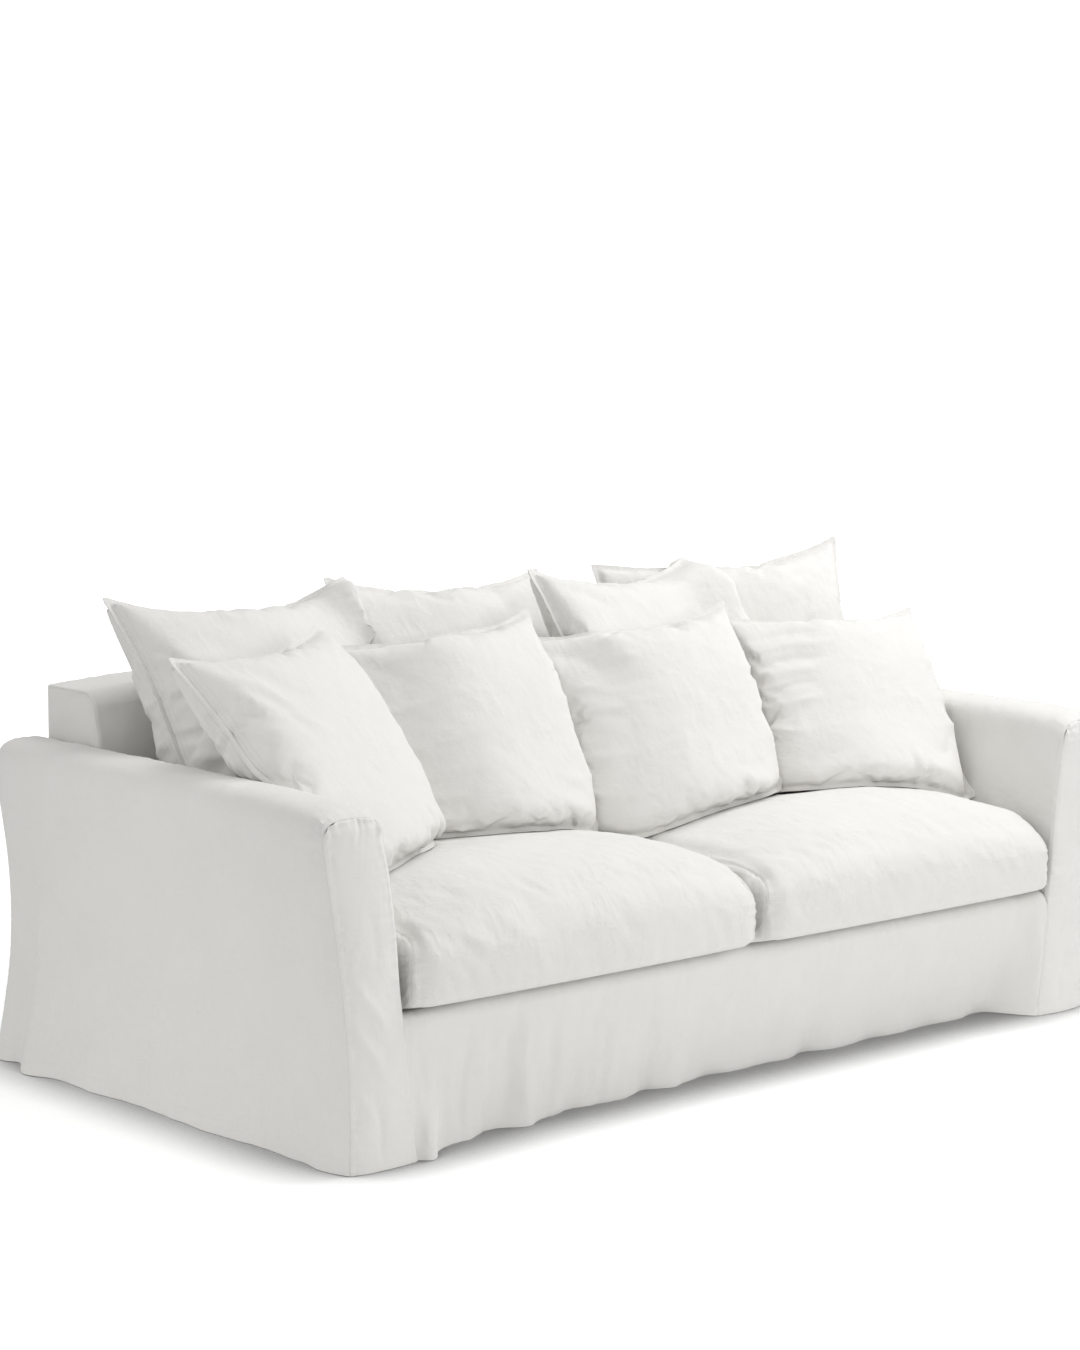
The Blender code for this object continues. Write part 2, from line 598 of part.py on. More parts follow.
def make_scatter(row, trees):
    """One scatter cushion: two faces over its middle sheet, pressed forward where it meets others."""
    steps = [math.sin(0.5 * math.pi * t) for t in spread(-1.0, 1.0, 8)]
    rim = [-1.0 - FLANGE] + steps + [1.0 + FLANGE]
    last = len(rim) - 1
    own = stance(row)
    forward = own.to_3x3() @ Vector((0.0, -1.0, 0.0))
    upward = own.to_3x3() @ Vector((0.0, 0.0, 1.0))
    middle = {(i, j): own @ middle_point(row, u, v) for i, u in enumerate(rim) for j, v in enumerate(rim)}
    half = {(i, j): half_thickness(row, min(max(u, -1.0), 1.0), min(max(v, -1.0), 1.0))
            for i, u in enumerate(rim) for j, v in enumerate(rim)}
    for i in range(last + 1):
        rise = rise_to_seat(middle[i, 0]) / upward.z
        for j, v in enumerate(rim):
            middle[i, j] += upward * rise * smooth((0.15 - v) / 1.15)
    pushed = soften({key: push_at(middle[key] - forward * half[key], forward, trees) for key in middle}, last)

    data = bmesh.new()
    rear = {key: data.verts.new(middle[key]) for key in middle}
    front = {key: data.verts.new(middle[key]) for key in middle}
    for face in (front, rear):
        for i in range(last):
            for j in range(last):
                data.faces.new((face[i, j], face[i + 1, j], face[i + 1, j + 1], face[i, j + 1]))
    edge = [(i, 0) for i in range(last)] + [(last, j) for j in range(last)]
    edge += [(i, last) for i in range(last, 0, -1)] + [(0, j) for j in range(last, 0, -1)]
    for here, after in zip(edge, edge[1:] + edge[:1]):
        data.faces.new((front[here], front[after], rear[after], rear[here]))
    bmesh.ops.triangulate(data, faces=data.faces)
    data.verts.index_update()
    owner = {face[key].index: key for face in (front, rear) for key in middle}

    for _ in range(SETTLE_STEPS):
        for key in middle:
            left_over = max(2.0 * half[key] * (1.0 - SQUASH), CLOTH)
            give = 2.0 * half[key] - left_over
            rear[key].co = middle[key] + forward * (pushed[key] - half[key])
            front[key].co = middle[key] + forward * (half[key] + max(pushed[key] - give, 0.0))
        data.faces.ensure_lookup_table()
        tree = BVHTree.FromBMesh(data)
        cut = {face for other in trees for face, _ in tree.overlap(other)}
        if not cut:
            break
        for key in {owner[vertex.index] for face in cut for vertex in data.faces[face].verts}:
            pushed[key] += CONTACT
    return finish_object(row.name, data, 1.0)


def rise_to_seat(point):
    """How far a lower edge point must rise, or may sink, to lie on the seat."""
    gap = seat_top(point.x, point.y) + 0.5 * CLOTH + CONTACT - point.z
    return max(gap, -DROOP)


def push_at(point, forward, trees):
    """How far a point of a rear face must come forward to be clear of what is behind it."""
    start = point + forward * PUSH_MOST
    reach = [tree.ray_cast(start, -forward, PUSH_MOST)[3] for tree in trees]
    nearest = min([distance for distance in reach if distance is not None], default=None)
    return 0.0 if nearest is None else PUSH_MOST - nearest + CONTACT


def soften(pushed, last):
    """Spread a cushion's pressed places a little, so that it gives way in one soft shape."""
    for _ in range(2):
        before = dict(pushed)
        for i, j in pushed:
            around = [(max(i - 1, 0), j), (min(i + 1, last), j), (i, max(j - 1, 0)), (i, min(j + 1, last))]
            pushed[i, j] = max(before[i, j], sum(before[key] for key in around) / len(around))
    return pushed


def tree_of(piece):
    """A search tree of a finished piece's faces, grown by the gap that its neighbours keep."""
    data = bmesh.new()
    data.from_mesh(piece.data)
    for vertex in data.verts:
        vertex.co += vertex.normal * 1.5 * SEAM
    tree = BVHTree.FromBMesh(data)
    data.free()
    return tree


def centre_on_origin():
    """Bring the origin under the middle of the whole set, at the hem."""
    pieces = list(bpy.context.scene.objects)
    points = [vertex.co for piece in pieces for vertex in piece.data.vertices]
    middle = Vector((0.5 * (min(p.x for p in points) + max(p.x for p in points)),
                     0.5 * (min(p.y for p in points) + max(p.y for p in points)),
                     min(p.z for p in points)))
    for piece in pieces:
        piece.data.transform(Matrix.Translation(-middle))


def main():
    for old in list(bpy.data.objects):
        bpy.data.objects.remove(old, do_unlink=True)
    trees = [tree_of(make_arm(-1, "left_arm")), tree_of(make_arm(1, "right_arm"))]
    make_skirt()
    make_deck()
    trees.append(tree_of(make_back()))
    trees.append(tree_of(make_seat_cushion(-1, "seat_cushion_left")))
    trees.append(tree_of(make_seat_cushion(1, "seat_cushion_right")))
    for row in SCATTER:
        trees.append(tree_of(make_scatter(row, trees)))
    centre_on_origin()


main()
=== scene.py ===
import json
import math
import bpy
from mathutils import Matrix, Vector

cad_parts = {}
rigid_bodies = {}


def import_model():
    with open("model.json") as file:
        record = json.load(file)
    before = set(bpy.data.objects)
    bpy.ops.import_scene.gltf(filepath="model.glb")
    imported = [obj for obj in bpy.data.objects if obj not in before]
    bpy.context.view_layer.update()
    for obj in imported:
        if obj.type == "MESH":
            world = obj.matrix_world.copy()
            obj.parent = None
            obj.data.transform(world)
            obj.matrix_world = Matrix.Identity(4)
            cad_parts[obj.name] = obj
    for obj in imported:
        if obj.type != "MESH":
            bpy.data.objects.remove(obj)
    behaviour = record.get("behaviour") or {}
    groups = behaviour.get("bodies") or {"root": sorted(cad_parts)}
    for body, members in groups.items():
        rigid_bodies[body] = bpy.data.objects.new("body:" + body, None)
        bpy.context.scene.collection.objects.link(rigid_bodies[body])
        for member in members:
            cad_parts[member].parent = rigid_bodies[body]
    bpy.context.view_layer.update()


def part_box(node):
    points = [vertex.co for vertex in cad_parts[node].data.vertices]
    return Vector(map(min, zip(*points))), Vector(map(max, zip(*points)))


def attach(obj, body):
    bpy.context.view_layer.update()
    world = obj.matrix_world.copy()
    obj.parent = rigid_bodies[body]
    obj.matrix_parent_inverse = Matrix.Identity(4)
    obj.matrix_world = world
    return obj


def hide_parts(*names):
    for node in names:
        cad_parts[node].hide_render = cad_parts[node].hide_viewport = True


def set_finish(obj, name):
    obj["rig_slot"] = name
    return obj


bl_info = {
    "name": "Linen Sofa Cover",
    "version": (1, 0, 0),
    "blender": (4, 5, 0),
    "location": "View3D > Sidebar > Sofa Cover",
    "description": "Sews a loose washed-linen sofa cover with its seat and scatter cushions",
    "category": "Add Mesh",
}

from collections import namedtuple

import bmesh
import bpy
import numpy as np
from mathutils import Matrix, Vector
from mathutils.bvhtree import BVHTree

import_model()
ARM_FRONT_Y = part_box("left_arm_cover")[0][1]
HEM_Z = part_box("outside_back")[0][2]

# The shapes below are worked out with Y = 0 at the front of the arms and Z = 0 at the hem
DEPTH = 1.04
DECK = 0.253
DECK_FRONT = 0.17
ARM_SHOULDER = 0.555
ARM_ROLL = 0.050
ARM_CROWN = 0.016
ROLL_POWER = 3.0
FLARE_OUT = 0.045
SKIRT_ROLL = 0.030
SKIRT_UPRIGHT = DECK - SKIRT_ROLL
SKIRT_SETBACK = 0.078
SKIRT_TOP_SETBACK = 0.030
BACK_FOOT = 0.800
BACK_HALF = 0.880
BACK_TOP = 0.716
BACK_CROWN = 0.020
BACK_CORNER = 0.042
REAR_FLARE = 0.030

ArmRow = namedtuple("ArmRow", "height outside inside")
ARM_SIDES = (
    ArmRow(0.000, 0.948, 0.798),
    ArmRow(0.090, 0.947, 0.811),
    ArmRow(0.200, 0.950, 0.822),
    ArmRow(0.300, 0.960, 0.834),
    ArmRow(0.400, 0.973, 0.842),
    ArmRow(0.500, 0.989, 0.855),
    ArmRow(0.555, 0.997, 0.865),
)

ARM_MIDDLE = 0.5 * (ARM_SIDES[-1].outside + ARM_SIDES[-1].inside)
ARM_REACH = 0.5 * (ARM_SIDES[-1].outside - ARM_SIDES[-1].inside)

# Sizes along and across the smaller panels, and how far the skirt's ends reach under the arms
FACING_WIDTH = 0.15
BACK_END_DEPTH = 0.165
SKIRT_HALF = 0.83
DECK_HALF = 0.8305
SKIRT_LAP = 0.0027

# Rows of stitches: beside a seam from the seam, and on a hem from the lower edge. How high a hem is
# turned up, and how much lower the skirt's stitches stand
SEAM_ROWS = (0.0035, 0.0095)
HEM_ROWS = (0.0260, 0.0245)
HEM_FOLD = 0.027
SKIRT_HEM_FOLD = 0.022
SKIRT_ROWS_LOWER = 0.0055

# Soft upright folds: place along the panel, how far out, half width, the height they reach
Fold = namedtuple("Fold", "place out width reach")
ARM_FOLDS = (
    Fold(0.06, 0.006, 0.030, 0.30),
    Fold(0.22, -0.005, 0.060, 0.35),
    Fold(0.38, 0.006, 0.070, 0.30),
    Fold(0.60, -0.004, 0.060, 0.30),
    Fold(0.72, 0.007, 0.050, 0.35),
    Fold(0.90, 0.026, 0.045, 0.36),
    Fold(0.98, -0.016, 0.030, 0.30),
)
SKIRT_FOLDS = (
    Fold(-0.775, 0.018, 0.026, 0.26),
    Fold(-0.480, 0.013, 0.140, 0.24),
    Fold(-0.652, 0.030, 0.034, 0.24),
    Fold(-0.522, 0.026, 0.032, 0.22),
    Fold(-0.400, -0.012, 0.034, 0.20),
    Fold(-0.280, 0.008, 0.030, 0.20),
    Fold(-0.205, -0.015, 0.026, 0.18),
    Fold(-0.145, 0.008, 0.022, 0.18),
    Fold(-0.040, -0.017, 0.050, 0.18),
    Fold(0.090, -0.009, 0.050, 0.16),
    Fold(0.220, -0.023, 0.040, 0.18),
    Fold(0.400, -0.014, 0.050, 0.18),
    Fold(0.560, -0.012, 0.080, 0.20),
    Fold(0.720, -0.020, 0.050, 0.22),
)
REAR_FOLDS = (
    Fold(-0.72, 0.010, 0.060, 0.40),
    Fold(-0.45, -0.008, 0.070, 0.35),
    Fold(-0.15, 0.008, 0.080, 0.35),
    Fold(0.12, -0.006, 0.070, 0.30),
    Fold(0.42, 0.009, 0.080, 0.40),
    Fold(0.70, -0.007, 0.060, 0.35),
)

# Creases: from one point of a panel to another in metres, half width, height (negative is a dent)
Crease = namedtuple("Crease", "x1 y1 x2 y2 width height")
ARM_CREASES = (
    Crease(0.030, 0.02, 0.050, 0.26, 0.010, 0.0035),
    Crease(0.075, 0.00, 0.085, 0.22, 0.011, -0.0030),
    Crease(0.130, 0.00, 0.150, 0.20, 0.014, 0.0035),
    Crease(0.210, 0.02, 0.190, 0.24, 0.014, -0.0030),
    Crease(0.330, 0.00, 0.345, 0.20, 0.016, 0.0030),
    Crease(0.470, 0.00, 0.450, 0.22, 0.014, 0.0035),
    Crease(0.560, 0.01, 0.590, 0.25, 0.014, -0.0030),
    Crease(0.660, 0.00, 0.690, 0.30, 0.015, 0.0045),
    Crease(0.760, 0.00, 0.780, 0.26, 0.012, -0.0040),
    Crease(0.830, 0.01, 0.840, 0.34, 0.012, 0.0050),
    Crease(0.905, 0.00, 0.925, 0.38, 0.013, 0.0070),
    Crease(0.960, 0.02, 0.955, 0.33, 0.010, -0.0050),
    Crease(0.120, 0.47, 0.430, 0.40, 0.020, 0.0020),
    Crease(0.520, 0.50, 0.880, 0.40, 0.024, -0.0022),
    Crease(0.030, 0.53, 0.170, 0.45, 0.012, 0.0022),
    Crease(0.700, 0.53, 0.960, 0.47, 0.014, 0.0024),
)
FACING_CREASES = (
    Crease(0.055, 0.33, 0.130, 0.22, 0.010, 0.0045),
    Crease(0.045, 0.27, 0.120, 0.15, 0.010, 0.0050),
    Crease(0.030, 0.20, 0.095, 0.08, 0.009, 0.0045),
    Crease(0.020, 0.12, 0.070, 0.02, 0.009, 0.0040),
    Crease(0.010, 0.42, 0.030, 0.20, 0.008, -0.0030),
    Crease(0.085, 0.45, 0.105, 0.34, 0.010, -0.0020),
    Crease(0.100, 0.13, 0.115, 0.01, 0.009, -0.0040),
)
SKIRT_CREASES = (
    Crease(-0.790, 0.00, -0.785, 0.22, 0.013, -0.0060),
    Crease(-0.762, 0.01, -0.750, 0.21, 0.012, 0.0050),
    Crease(-0.700, 0.00, -0.712, 0.20, 0.015, 0.0060),
    Crease(-0.672, 0.00, -0.660, 0.23, 0.013, -0.0060),
    Crease(-0.622, 0.00, -0.634, 0.20, 0.013, 0.0060),
    Crease(-0.566, 0.00, -0.556, 0.24, 0.015, -0.0065),
    Crease(-0.528, 0.02, -0.534, 0.23, 0.012, 0.0055),
    Crease(-0.470, 0.00, -0.462, 0.20, 0.015, -0.0055),
    Crease(-0.432, 0.00, -0.440, 0.22, 0.013, 0.0060),
    Crease(-0.352, 0.00, -0.344, 0.19, 0.017, -0.0045),
    Crease(-0.312, 0.00, -0.318, 0.20, 0.015, 0.0045),
    Crease(-0.236, 0.00, -0.224, 0.18, 0.018, -0.0040),
    Crease(-0.190, 0.00, -0.196, 0.18, 0.015, 0.0040),
    Crease(-0.100, 0.00, -0.090, 0.16, 0.019, -0.0032),
    Crease(-0.030, 0.00, -0.036, 0.17, 0.018, 0.0034),
    Crease(0.110, 0.00, 0.118, 0.17, 0.021, -0.0021),
    Crease(0.190, 0.00, 0.184, 0.18, 0.019, 0.0024),
    Crease(0.270, 0.00, 0.276, 0.16, 0.021, 0.0019),
    Crease(0.400, 0.00, 0.408, 0.18, 0.021, 0.0024),
    Crease(0.470, 0.00, 0.464, 0.17, 0.018, -0.0023),
    Crease(0.570, 0.00, 0.578, 0.19, 0.019, 0.0027),
    Crease(0.640, 0.00, 0.632, 0.19, 0.017, -0.0030),
    Crease(0.715, 0.00, 0.722, 0.20, 0.015, 0.0034),
    Crease(0.790, 0.00, 0.786, 0.22, 0.013, -0.0037),
)
REAR_CREASES = (
    Crease(-0.850, 0.02, -0.830, 0.40, 0.016, 0.0040),
    Crease(-0.640, 0.00, -0.660, 0.34, 0.018, -0.0034),
    Crease(-0.520, 0.00, -0.500, 0.42, 0.018, 0.0036),
    Crease(-0.300, 0.00, -0.320, 0.36, 0.020, 0.0034),
    Crease(-0.080, 0.00, -0.060, 0.32, 0.018, -0.0030),
    Crease(0.050, 0.00, 0.060, 0.40, 0.018, 0.0036),
    Crease(0.240, 0.00, 0.220, 0.34, 0.020, -0.0032),
    Crease(0.340, 0.00, 0.360, 0.42, 0.018, 0.0036),
    Crease(0.560, 0.00, 0.540, 0.38, 0.018, 0.0036),
    Crease(0.640, 0.00, 0.660, 0.30, 0.016, -0.0032),
    Crease(0.860, 0.02, 0.840, 0.42, 0.016, 0.0042),
    Crease(-0.400, 0.62, 0.100, 0.55, 0.030, -0.0024),
    Crease(0.150, 0.60, 0.650, 0.52, 0.030, 0.0024),
)

SlopeRow = namedtuple("SlopeRow", "height depth")
BACK_SLOPE = (
    SlopeRow(DECK, BACK_FOOT),
    SlopeRow(0.400, 0.818),
    SlopeRow(0.600, 0.851),
    SlopeRow(0.680, 0.872),
)

SeatRow = namedtuple("SeatRow", "depth height")
SEAT_TOP = (
    SeatRow(-0.030, 0.418),
    SeatRow(0.030, 0.447),
    SeatRow(0.110, 0.467),
    SeatRow(0.200, 0.472),
    SeatRow(0.300, 0.462),
    SeatRow(0.420, 0.446),
    SeatRow(0.600, 0.430),
    SeatRow(0.796, 0.424),
)
SEAT_EDGE = 0.400
SEAT_BELLY = 0.022
SEAT_FRONT = -0.020
SEAT_REAR = 0.796
SEAT_END = 0.826
SEAT_GAP = 0.003
SEAT_MIDDLE = 0.5 * (SEAT_END + SEAT_GAP)
SEAT_HALF = 0.5 * (SEAT_END - SEAT_GAP)
SEAT_LENGTH = SEAT_REAR - SEAT_FRONT
SEAT_WALL = 0.16
SEAT_ROUND = 0.040
SEAT_CORNER = 0.012
SEAT_CURL = 0.010

# Scatter cushions: middle of the lower edge, turn, lean and roll in degrees, size of the case,
# thickness, how far the upper ears stand up, bow and twist
Scatter = namedtuple(
    "Scatter", "name x y z turn lean roll width height thick ear_left ear_right bow twist")
SCATTER = (
    Scatter("back_cushion_2", -0.05, 0.64, 0.434, 2, 25, 0, 0.568, 0.509, 0.2, 0.018, 0.01, 0.02, -0.04),
    Scatter("back_cushion_4", 0.58, 0.585, 0.434, -18, 19, -2, 0.57, 0.505, 0.19, 0.004, 0.022, 0.02, 0.04),
    Scatter("back_cushion_1", -0.568, 0.596, 0.436, 12, 29, 3, 0.568, 0.512, 0.2, 0.018, 0.016, 0.02, 0.0),
    Scatter("back_cushion_3", 0.32, 0.5, 0.438, 10, 26, 1, 0.53, 0.511, 0.16, 0.014, 0.022, 0.02, -0.1),
    Scatter("front_cushion_4", 0.615, 0.282, 0.446, -10, 31, 3, 0.476, 0.42, 0.17, 0.004, 0.016, 0.02, 0.0),
    Scatter("front_cushion_3", 0.175, 0.355, 0.444, -7, 27, -2, 0.478, 0.42, 0.17, 0.004, 0.018, 0.02, 0.05),
    Scatter("front_cushion_2", -0.275, 0.4, 0.444, -2, 27, -1, 0.475, 0.437, 0.17, 0.006, 0.018, 0.02, 0.0),
    Scatter("front_cushion_1", -0.644, 0.309, 0.456, 26, 32, 1, 0.472, 0.448, 0.17, 0.012, 0.016, 0.02, 0.08),
)
# Sides tucked behind a neighbour: share of the front's fullness lost to the left and right, and how
# far the left edge is bent back
Tuck = namedtuple("Tuck", "left right back")
TUCKED = {
    "back_cushion_2": Tuck(0.55, 0.60, 0.000), "back_cushion_4": Tuck(0.60, 0.00, 0.000),
    "front_cushion_2": Tuck(0.70, 0.00, 0.055), "front_cushion_3": Tuck(0.50, 0.00, 0.025),
    "front_cushion_4": Tuck(0.45, 0.00, 0.015),
}
NOT_TUCKED = Tuck(0.0, 0.0, 0.0)
# Half the side of a sewn case before it is scaled, and how many rings of cells its flat edge has
CASE_HALF = 0.25
FLANGE_RINGS = 3
# Which sewn and filled case each cushion uses, and whether it is turned over left to right
CASES = {
    "back_cushion_1": (0, False), "back_cushion_2": (1, False), "back_cushion_3": (2, True),
    "back_cushion_4": (0, True), "front_cushion_1": (3, False), "front_cushion_2": (2, False),
    "front_cushion_3": (1, True), "front_cushion_4": (3, True),
}

# Creases of single cushions, from the middle of the lower edge
CASE_CREASES = {
    "front_cushion_1": (
        Crease(-0.200, 0.425, -0.060, 0.290, 0.020, -0.0050),
        Crease(-0.205, 0.395, -0.100, 0.270, 0.012, 0.0050),
        Crease(-0.190, 0.350, -0.110, 0.235, 0.012, -0.0045),
        Crease(-0.170, 0.300, -0.060, 0.220, 0.010, 0.0040),
        Crease(0.180, 0.420, 0.060, 0.330, 0.014, 0.0040),
        Crease(0.060, 0.010, 0.080, 0.080, 0.009, -0.0040),
    ),
    "front_cushion_2": (
        Crease(-0.210, 0.400, -0.090, 0.300, 0.018, -0.0045),
        Crease(-0.190, 0.100, -0.110, 0.070, 0.009, 0.0045),
        Crease(-0.195, 0.060, -0.120, 0.040, 0.008, -0.0045),
        Crease(-0.160, 0.010, -0.130, 0.070, 0.009, 0.0045),
        Crease(-0.120, 0.010, -0.100, 0.060, 0.008, -0.0040),
        Crease(0.190, 0.060, 0.090, 0.100, 0.012, 0.0035),
    ),
    "front_cushion_3": (
        Crease(-0.210, 0.380, -0.110, 0.290, 0.016, -0.0045),
        Crease(-0.200, 0.290, -0.110, 0.250, 0.010, 0.0035),
        Crease(-0.200, 0.220, -0.100, 0.200, 0.011, -0.0035),
        Crease(0.190, 0.390, 0.100, 0.310, 0.014, 0.0035),
    ),
    "front_cushion_4": (
        Crease(-0.205, 0.345, -0.050, 0.350, 0.009, -0.0045),
        Crease(-0.205, 0.320, -0.040, 0.318, 0.010, 0.0050),
        Crease(-0.205, 0.285, -0.060, 0.285, 0.009, -0.0050),
        Crease(-0.200, 0.255, -0.080, 0.262, 0.009, 0.0045),
        Crease(-0.200, 0.220, -0.100, 0.235, 0.009, -0.0045),
        Crease(-0.190, 0.180, -0.110, 0.200, 0.009, 0.0035),
        Crease(0.030, 0.000, 0.050, 0.070, 0.009, -0.0055),
        Crease(0.055, 0.000, 0.060, 0.065, 0.007, 0.0055),
        Crease(0.085, 0.000, 0.070, 0.060, 0.008, -0.0045),
        Crease(0.200, 0.120, 0.130, 0.060, 0.012, -0.0040),
    ),
    "back_cushion_1": (
        Crease(-0.250, 0.480, -0.060, 0.420, 0.016, -0.0040),
        Crease(-0.200, 0.450, 0.020, 0.440, 0.010, 0.0035),
        Crease(0.240, 0.480, 0.060, 0.410, 0.018, -0.0050),
        Crease(-0.240, 0.380, -0.140, 0.330, 0.014, 0.0035),
    ),
    "back_cushion_2": (
        Crease(-0.230, 0.490, -0.080, 0.420, 0.016, -0.0045),
        Crease(-0.150, 0.470, 0.000, 0.450, 0.011, 0.0035),
    ),
    "back_cushion_3": (
        Crease(-0.240, 0.480, -0.120, 0.400, 0.014, -0.0045),
        Crease(0.220, 0.480, 0.080, 0.430, 0.014, 0.0040),
    ),
    "back_cushion_4": (
        Crease(0.240, 0.480, 0.100, 0.410, 0.016, -0.0045),
        Crease(-0.020, 0.470, 0.160, 0.450, 0.012, 0.0035),
    ),
}

# How wrinkled the linen is, and how plainly its stitches show: taut on the cover, loose on cushions
Finish = namedtuple("Finish", "wrinkles stitching")
FINISHES = {"cover": Finish(1.0, 0.30), "seat": Finish(1.6, 0.75), "scatter": Finish(1.05, 0.55)}

# Soft square lights: place, what they face, side, the angle they spread over, share of the key
Light = namedtuple("Light", "name place aim size spread share")
LIGHTS = (
    Light("key", (1.6, -0.6, 3.3), (0.1, 0.0, 0.4), 2.0, 180.0, 0.94),
    Light("front_fill", (0.3, -3.0, 1.6), (0.0, -0.4, 0.2), 1.2, 180.0, 0.25),
    Light("side_fill", (-3.0, 0.0, 1.7), (-1.0, 0.0, 0.05), 1.0, 48.0, 0.018),
)


# ---- settings ------------------------------------------------------------------------------------

class LinenSettings(bpy.types.PropertyGroup):
    colour: bpy.props.StringProperty(
        name="Colour", description="sRGB hex of the washed linen", default="#EDECE9")
    # Besides the slubs and stitch lines, this colour also draws the painted shade along the seam grooves
    shade: bpy.props.StringProperty(
        name="Shade", description="sRGB hex of the linen's greyer slubs and stitch lines", default="#D9D7D1")
    thread: bpy.props.FloatProperty(
        name="Thread spacing", description="Distance from one thread to the next; real linen has about "
        "0.7 mm, drawn wider so that it shows", default=0.0016, unit="LENGTH")
    thickness: bpy.props.FloatProperty(
        name="Thickness", description="Thickness of the cloth", default=0.0018, unit="LENGTH")
    crumple: bpy.props.FloatProperty(
        name="Crumple", description="Height of the small creases of washed linen", default=0.0011,
        unit="LENGTH")
    stitch: bpy.props.FloatProperty(
        name="Stitch length", description="Length of one stitch and its gap", default=0.006, unit="LENGTH")


class CushionSettings(bpy.types.PropertyGroup):
    cells: bpy.props.IntProperty(
        name="Cells", description="Cells across the case of a scatter cushion", default=84, min=24)
    flange: bpy.props.FloatProperty(
        name="Flange", description="Width of the flat stitched edge", default=0.010, unit="LENGTH")
    pressure: bpy.props.FloatProperty(
        name="Filling", description="Pressure of the filling while a case is blown up", default=5.0)
    steps: bpy.props.IntProperty(
        name="Steps", description="Steps of the cloth simulation", default=20, min=4)
    fullness: bpy.props.FloatVectorProperty(
        name="Fullness", description="Power of the thickness in front and behind: lower is plumper at the "
        "edges", size=2, default=(0.70, 0.50))
    dip_top: bpy.props.FloatProperty(
        name="Top dip", description="How much of the simulated dip the upper edge keeps", default=0.60,
        subtype="FACTOR")
    dip_side: bpy.props.FloatProperty(
        name="Side dip", description="How much of the simulated dip the sides keep", default=0.32,
        subtype="FACTOR")
    sag: bpy.props.FloatProperty(
        name="Sag", description="How far the lower edge slides forward under the filling", default=0.080,
        unit="LENGTH")
    squash: bpy.props.FloatProperty(
        name="Squash", description="Most of its thickness that a cushion loses where it is pressed",
        default=0.45, subtype="FACTOR")


class StageSettings(bpy.types.PropertyGroup):
    camera_place: bpy.props.FloatVectorProperty(
        name="Camera place", description="Where the camera stands", size=3, subtype="TRANSLATION",
        default=(-3.6931, -3.7297 + ARM_FRONT_Y, 1.3897 + HEM_Z))
    camera_turn: bpy.props.FloatProperty(
        name="Camera turn", description="From straight ahead towards +X", default=math.radians(40.3102),
        subtype="ANGLE")
    camera_pitch: bpy.props.FloatProperty(
        name="Camera pitch", description="Looking down", default=math.radians(6.8419), subtype="ANGLE")
    lens: bpy.props.FloatProperty(
        name="Lens", description="Focal length for a picture 36 mm high, in millimetres", default=76.77)
    ambient: bpy.props.FloatProperty(
        name="Ambient", description="Strength of the white room", default=0.56)
    key: bpy.props.FloatProperty(
        name="Key light", description="Power of the large soft light", default=60.0, unit="POWER")
    lift: bpy.props.FloatProperty(
        name="Floor glow", description="Light of its own that the floor gives, less where it is covered",
        default=0.40)


# ---- small shapes --------------------------------------------------------------------------------

def smooth(value):
    """Ease from 0 to 1."""
    value = np.clip(value, 0.0, 1.0)
    return value * value * (3.0 - 2.0 * value)


def read(rows, column, place):
    """Values from a table's column on a smooth curve through its rows; the first column is the place."""
    places = np.array([row[0] for row in rows])
    values = np.array([getattr(row, column) for row in rows])
    last = len(rows) - 1
    low, high = np.maximum(np.arange(last + 1) - 1, 0), np.minimum(np.arange(last + 1) + 1, last)
    slopes = (values[high] - values[low]) / (places[high] - places[low])
    place = np.clip(place, places[0], places[-1])
    index = np.clip(np.searchsorted(places, place, side="right") - 1, 0, last - 1)
    span = places[index + 1] - places[index]
    t = (place - places[index]) / span
    return (values[index] * (2 * t ** 3 - 3 * t ** 2 + 1) + slopes[index] * span * (t ** 3 - 2 * t ** 2 + t)
            + values[index + 1] * (3 * t ** 2 - 2 * t ** 3) + slopes[index + 1] * span * (t ** 3 - t ** 2))


def folds(rows, along, height):
    """How far a panel stands out, from its table of folds."""
    out = np.zeros(np.broadcast(along, height).shape)
    for fold in rows:
        fade = np.clip(1.0 - height / fold.reach, 0.0, 1.0) ** 1.3
        out += fold.out * fade * np.exp(-((along - fold.place) / fold.width) ** 2)
    return out


def creases(rows, x, y):
    """Heights of a table of creases, each highest in its middle and fading to its ends."""
    out = np.zeros(np.broadcast(x, y).shape)
    for row in rows:
        run_x, run_y = row.x2 - row.x1, row.y2 - row.y1
        length = math.hypot(run_x, run_y)
        along = ((x - row.x1) * run_x + (y - row.y1) * run_y) / length ** 2
        away = ((x - row.x1) * run_y - (y - row.y1) * run_x) / length
        wander = 0.25 * row.width * np.sin(9.0 * along + 40.0 * row.x1)
        part = smooth((along + 0.10) / 0.35) * smooth((1.10 - along) / 0.50)
        out += row.height * part * np.exp(-np.abs((away + wander) / row.width) ** 1.6)
    return out


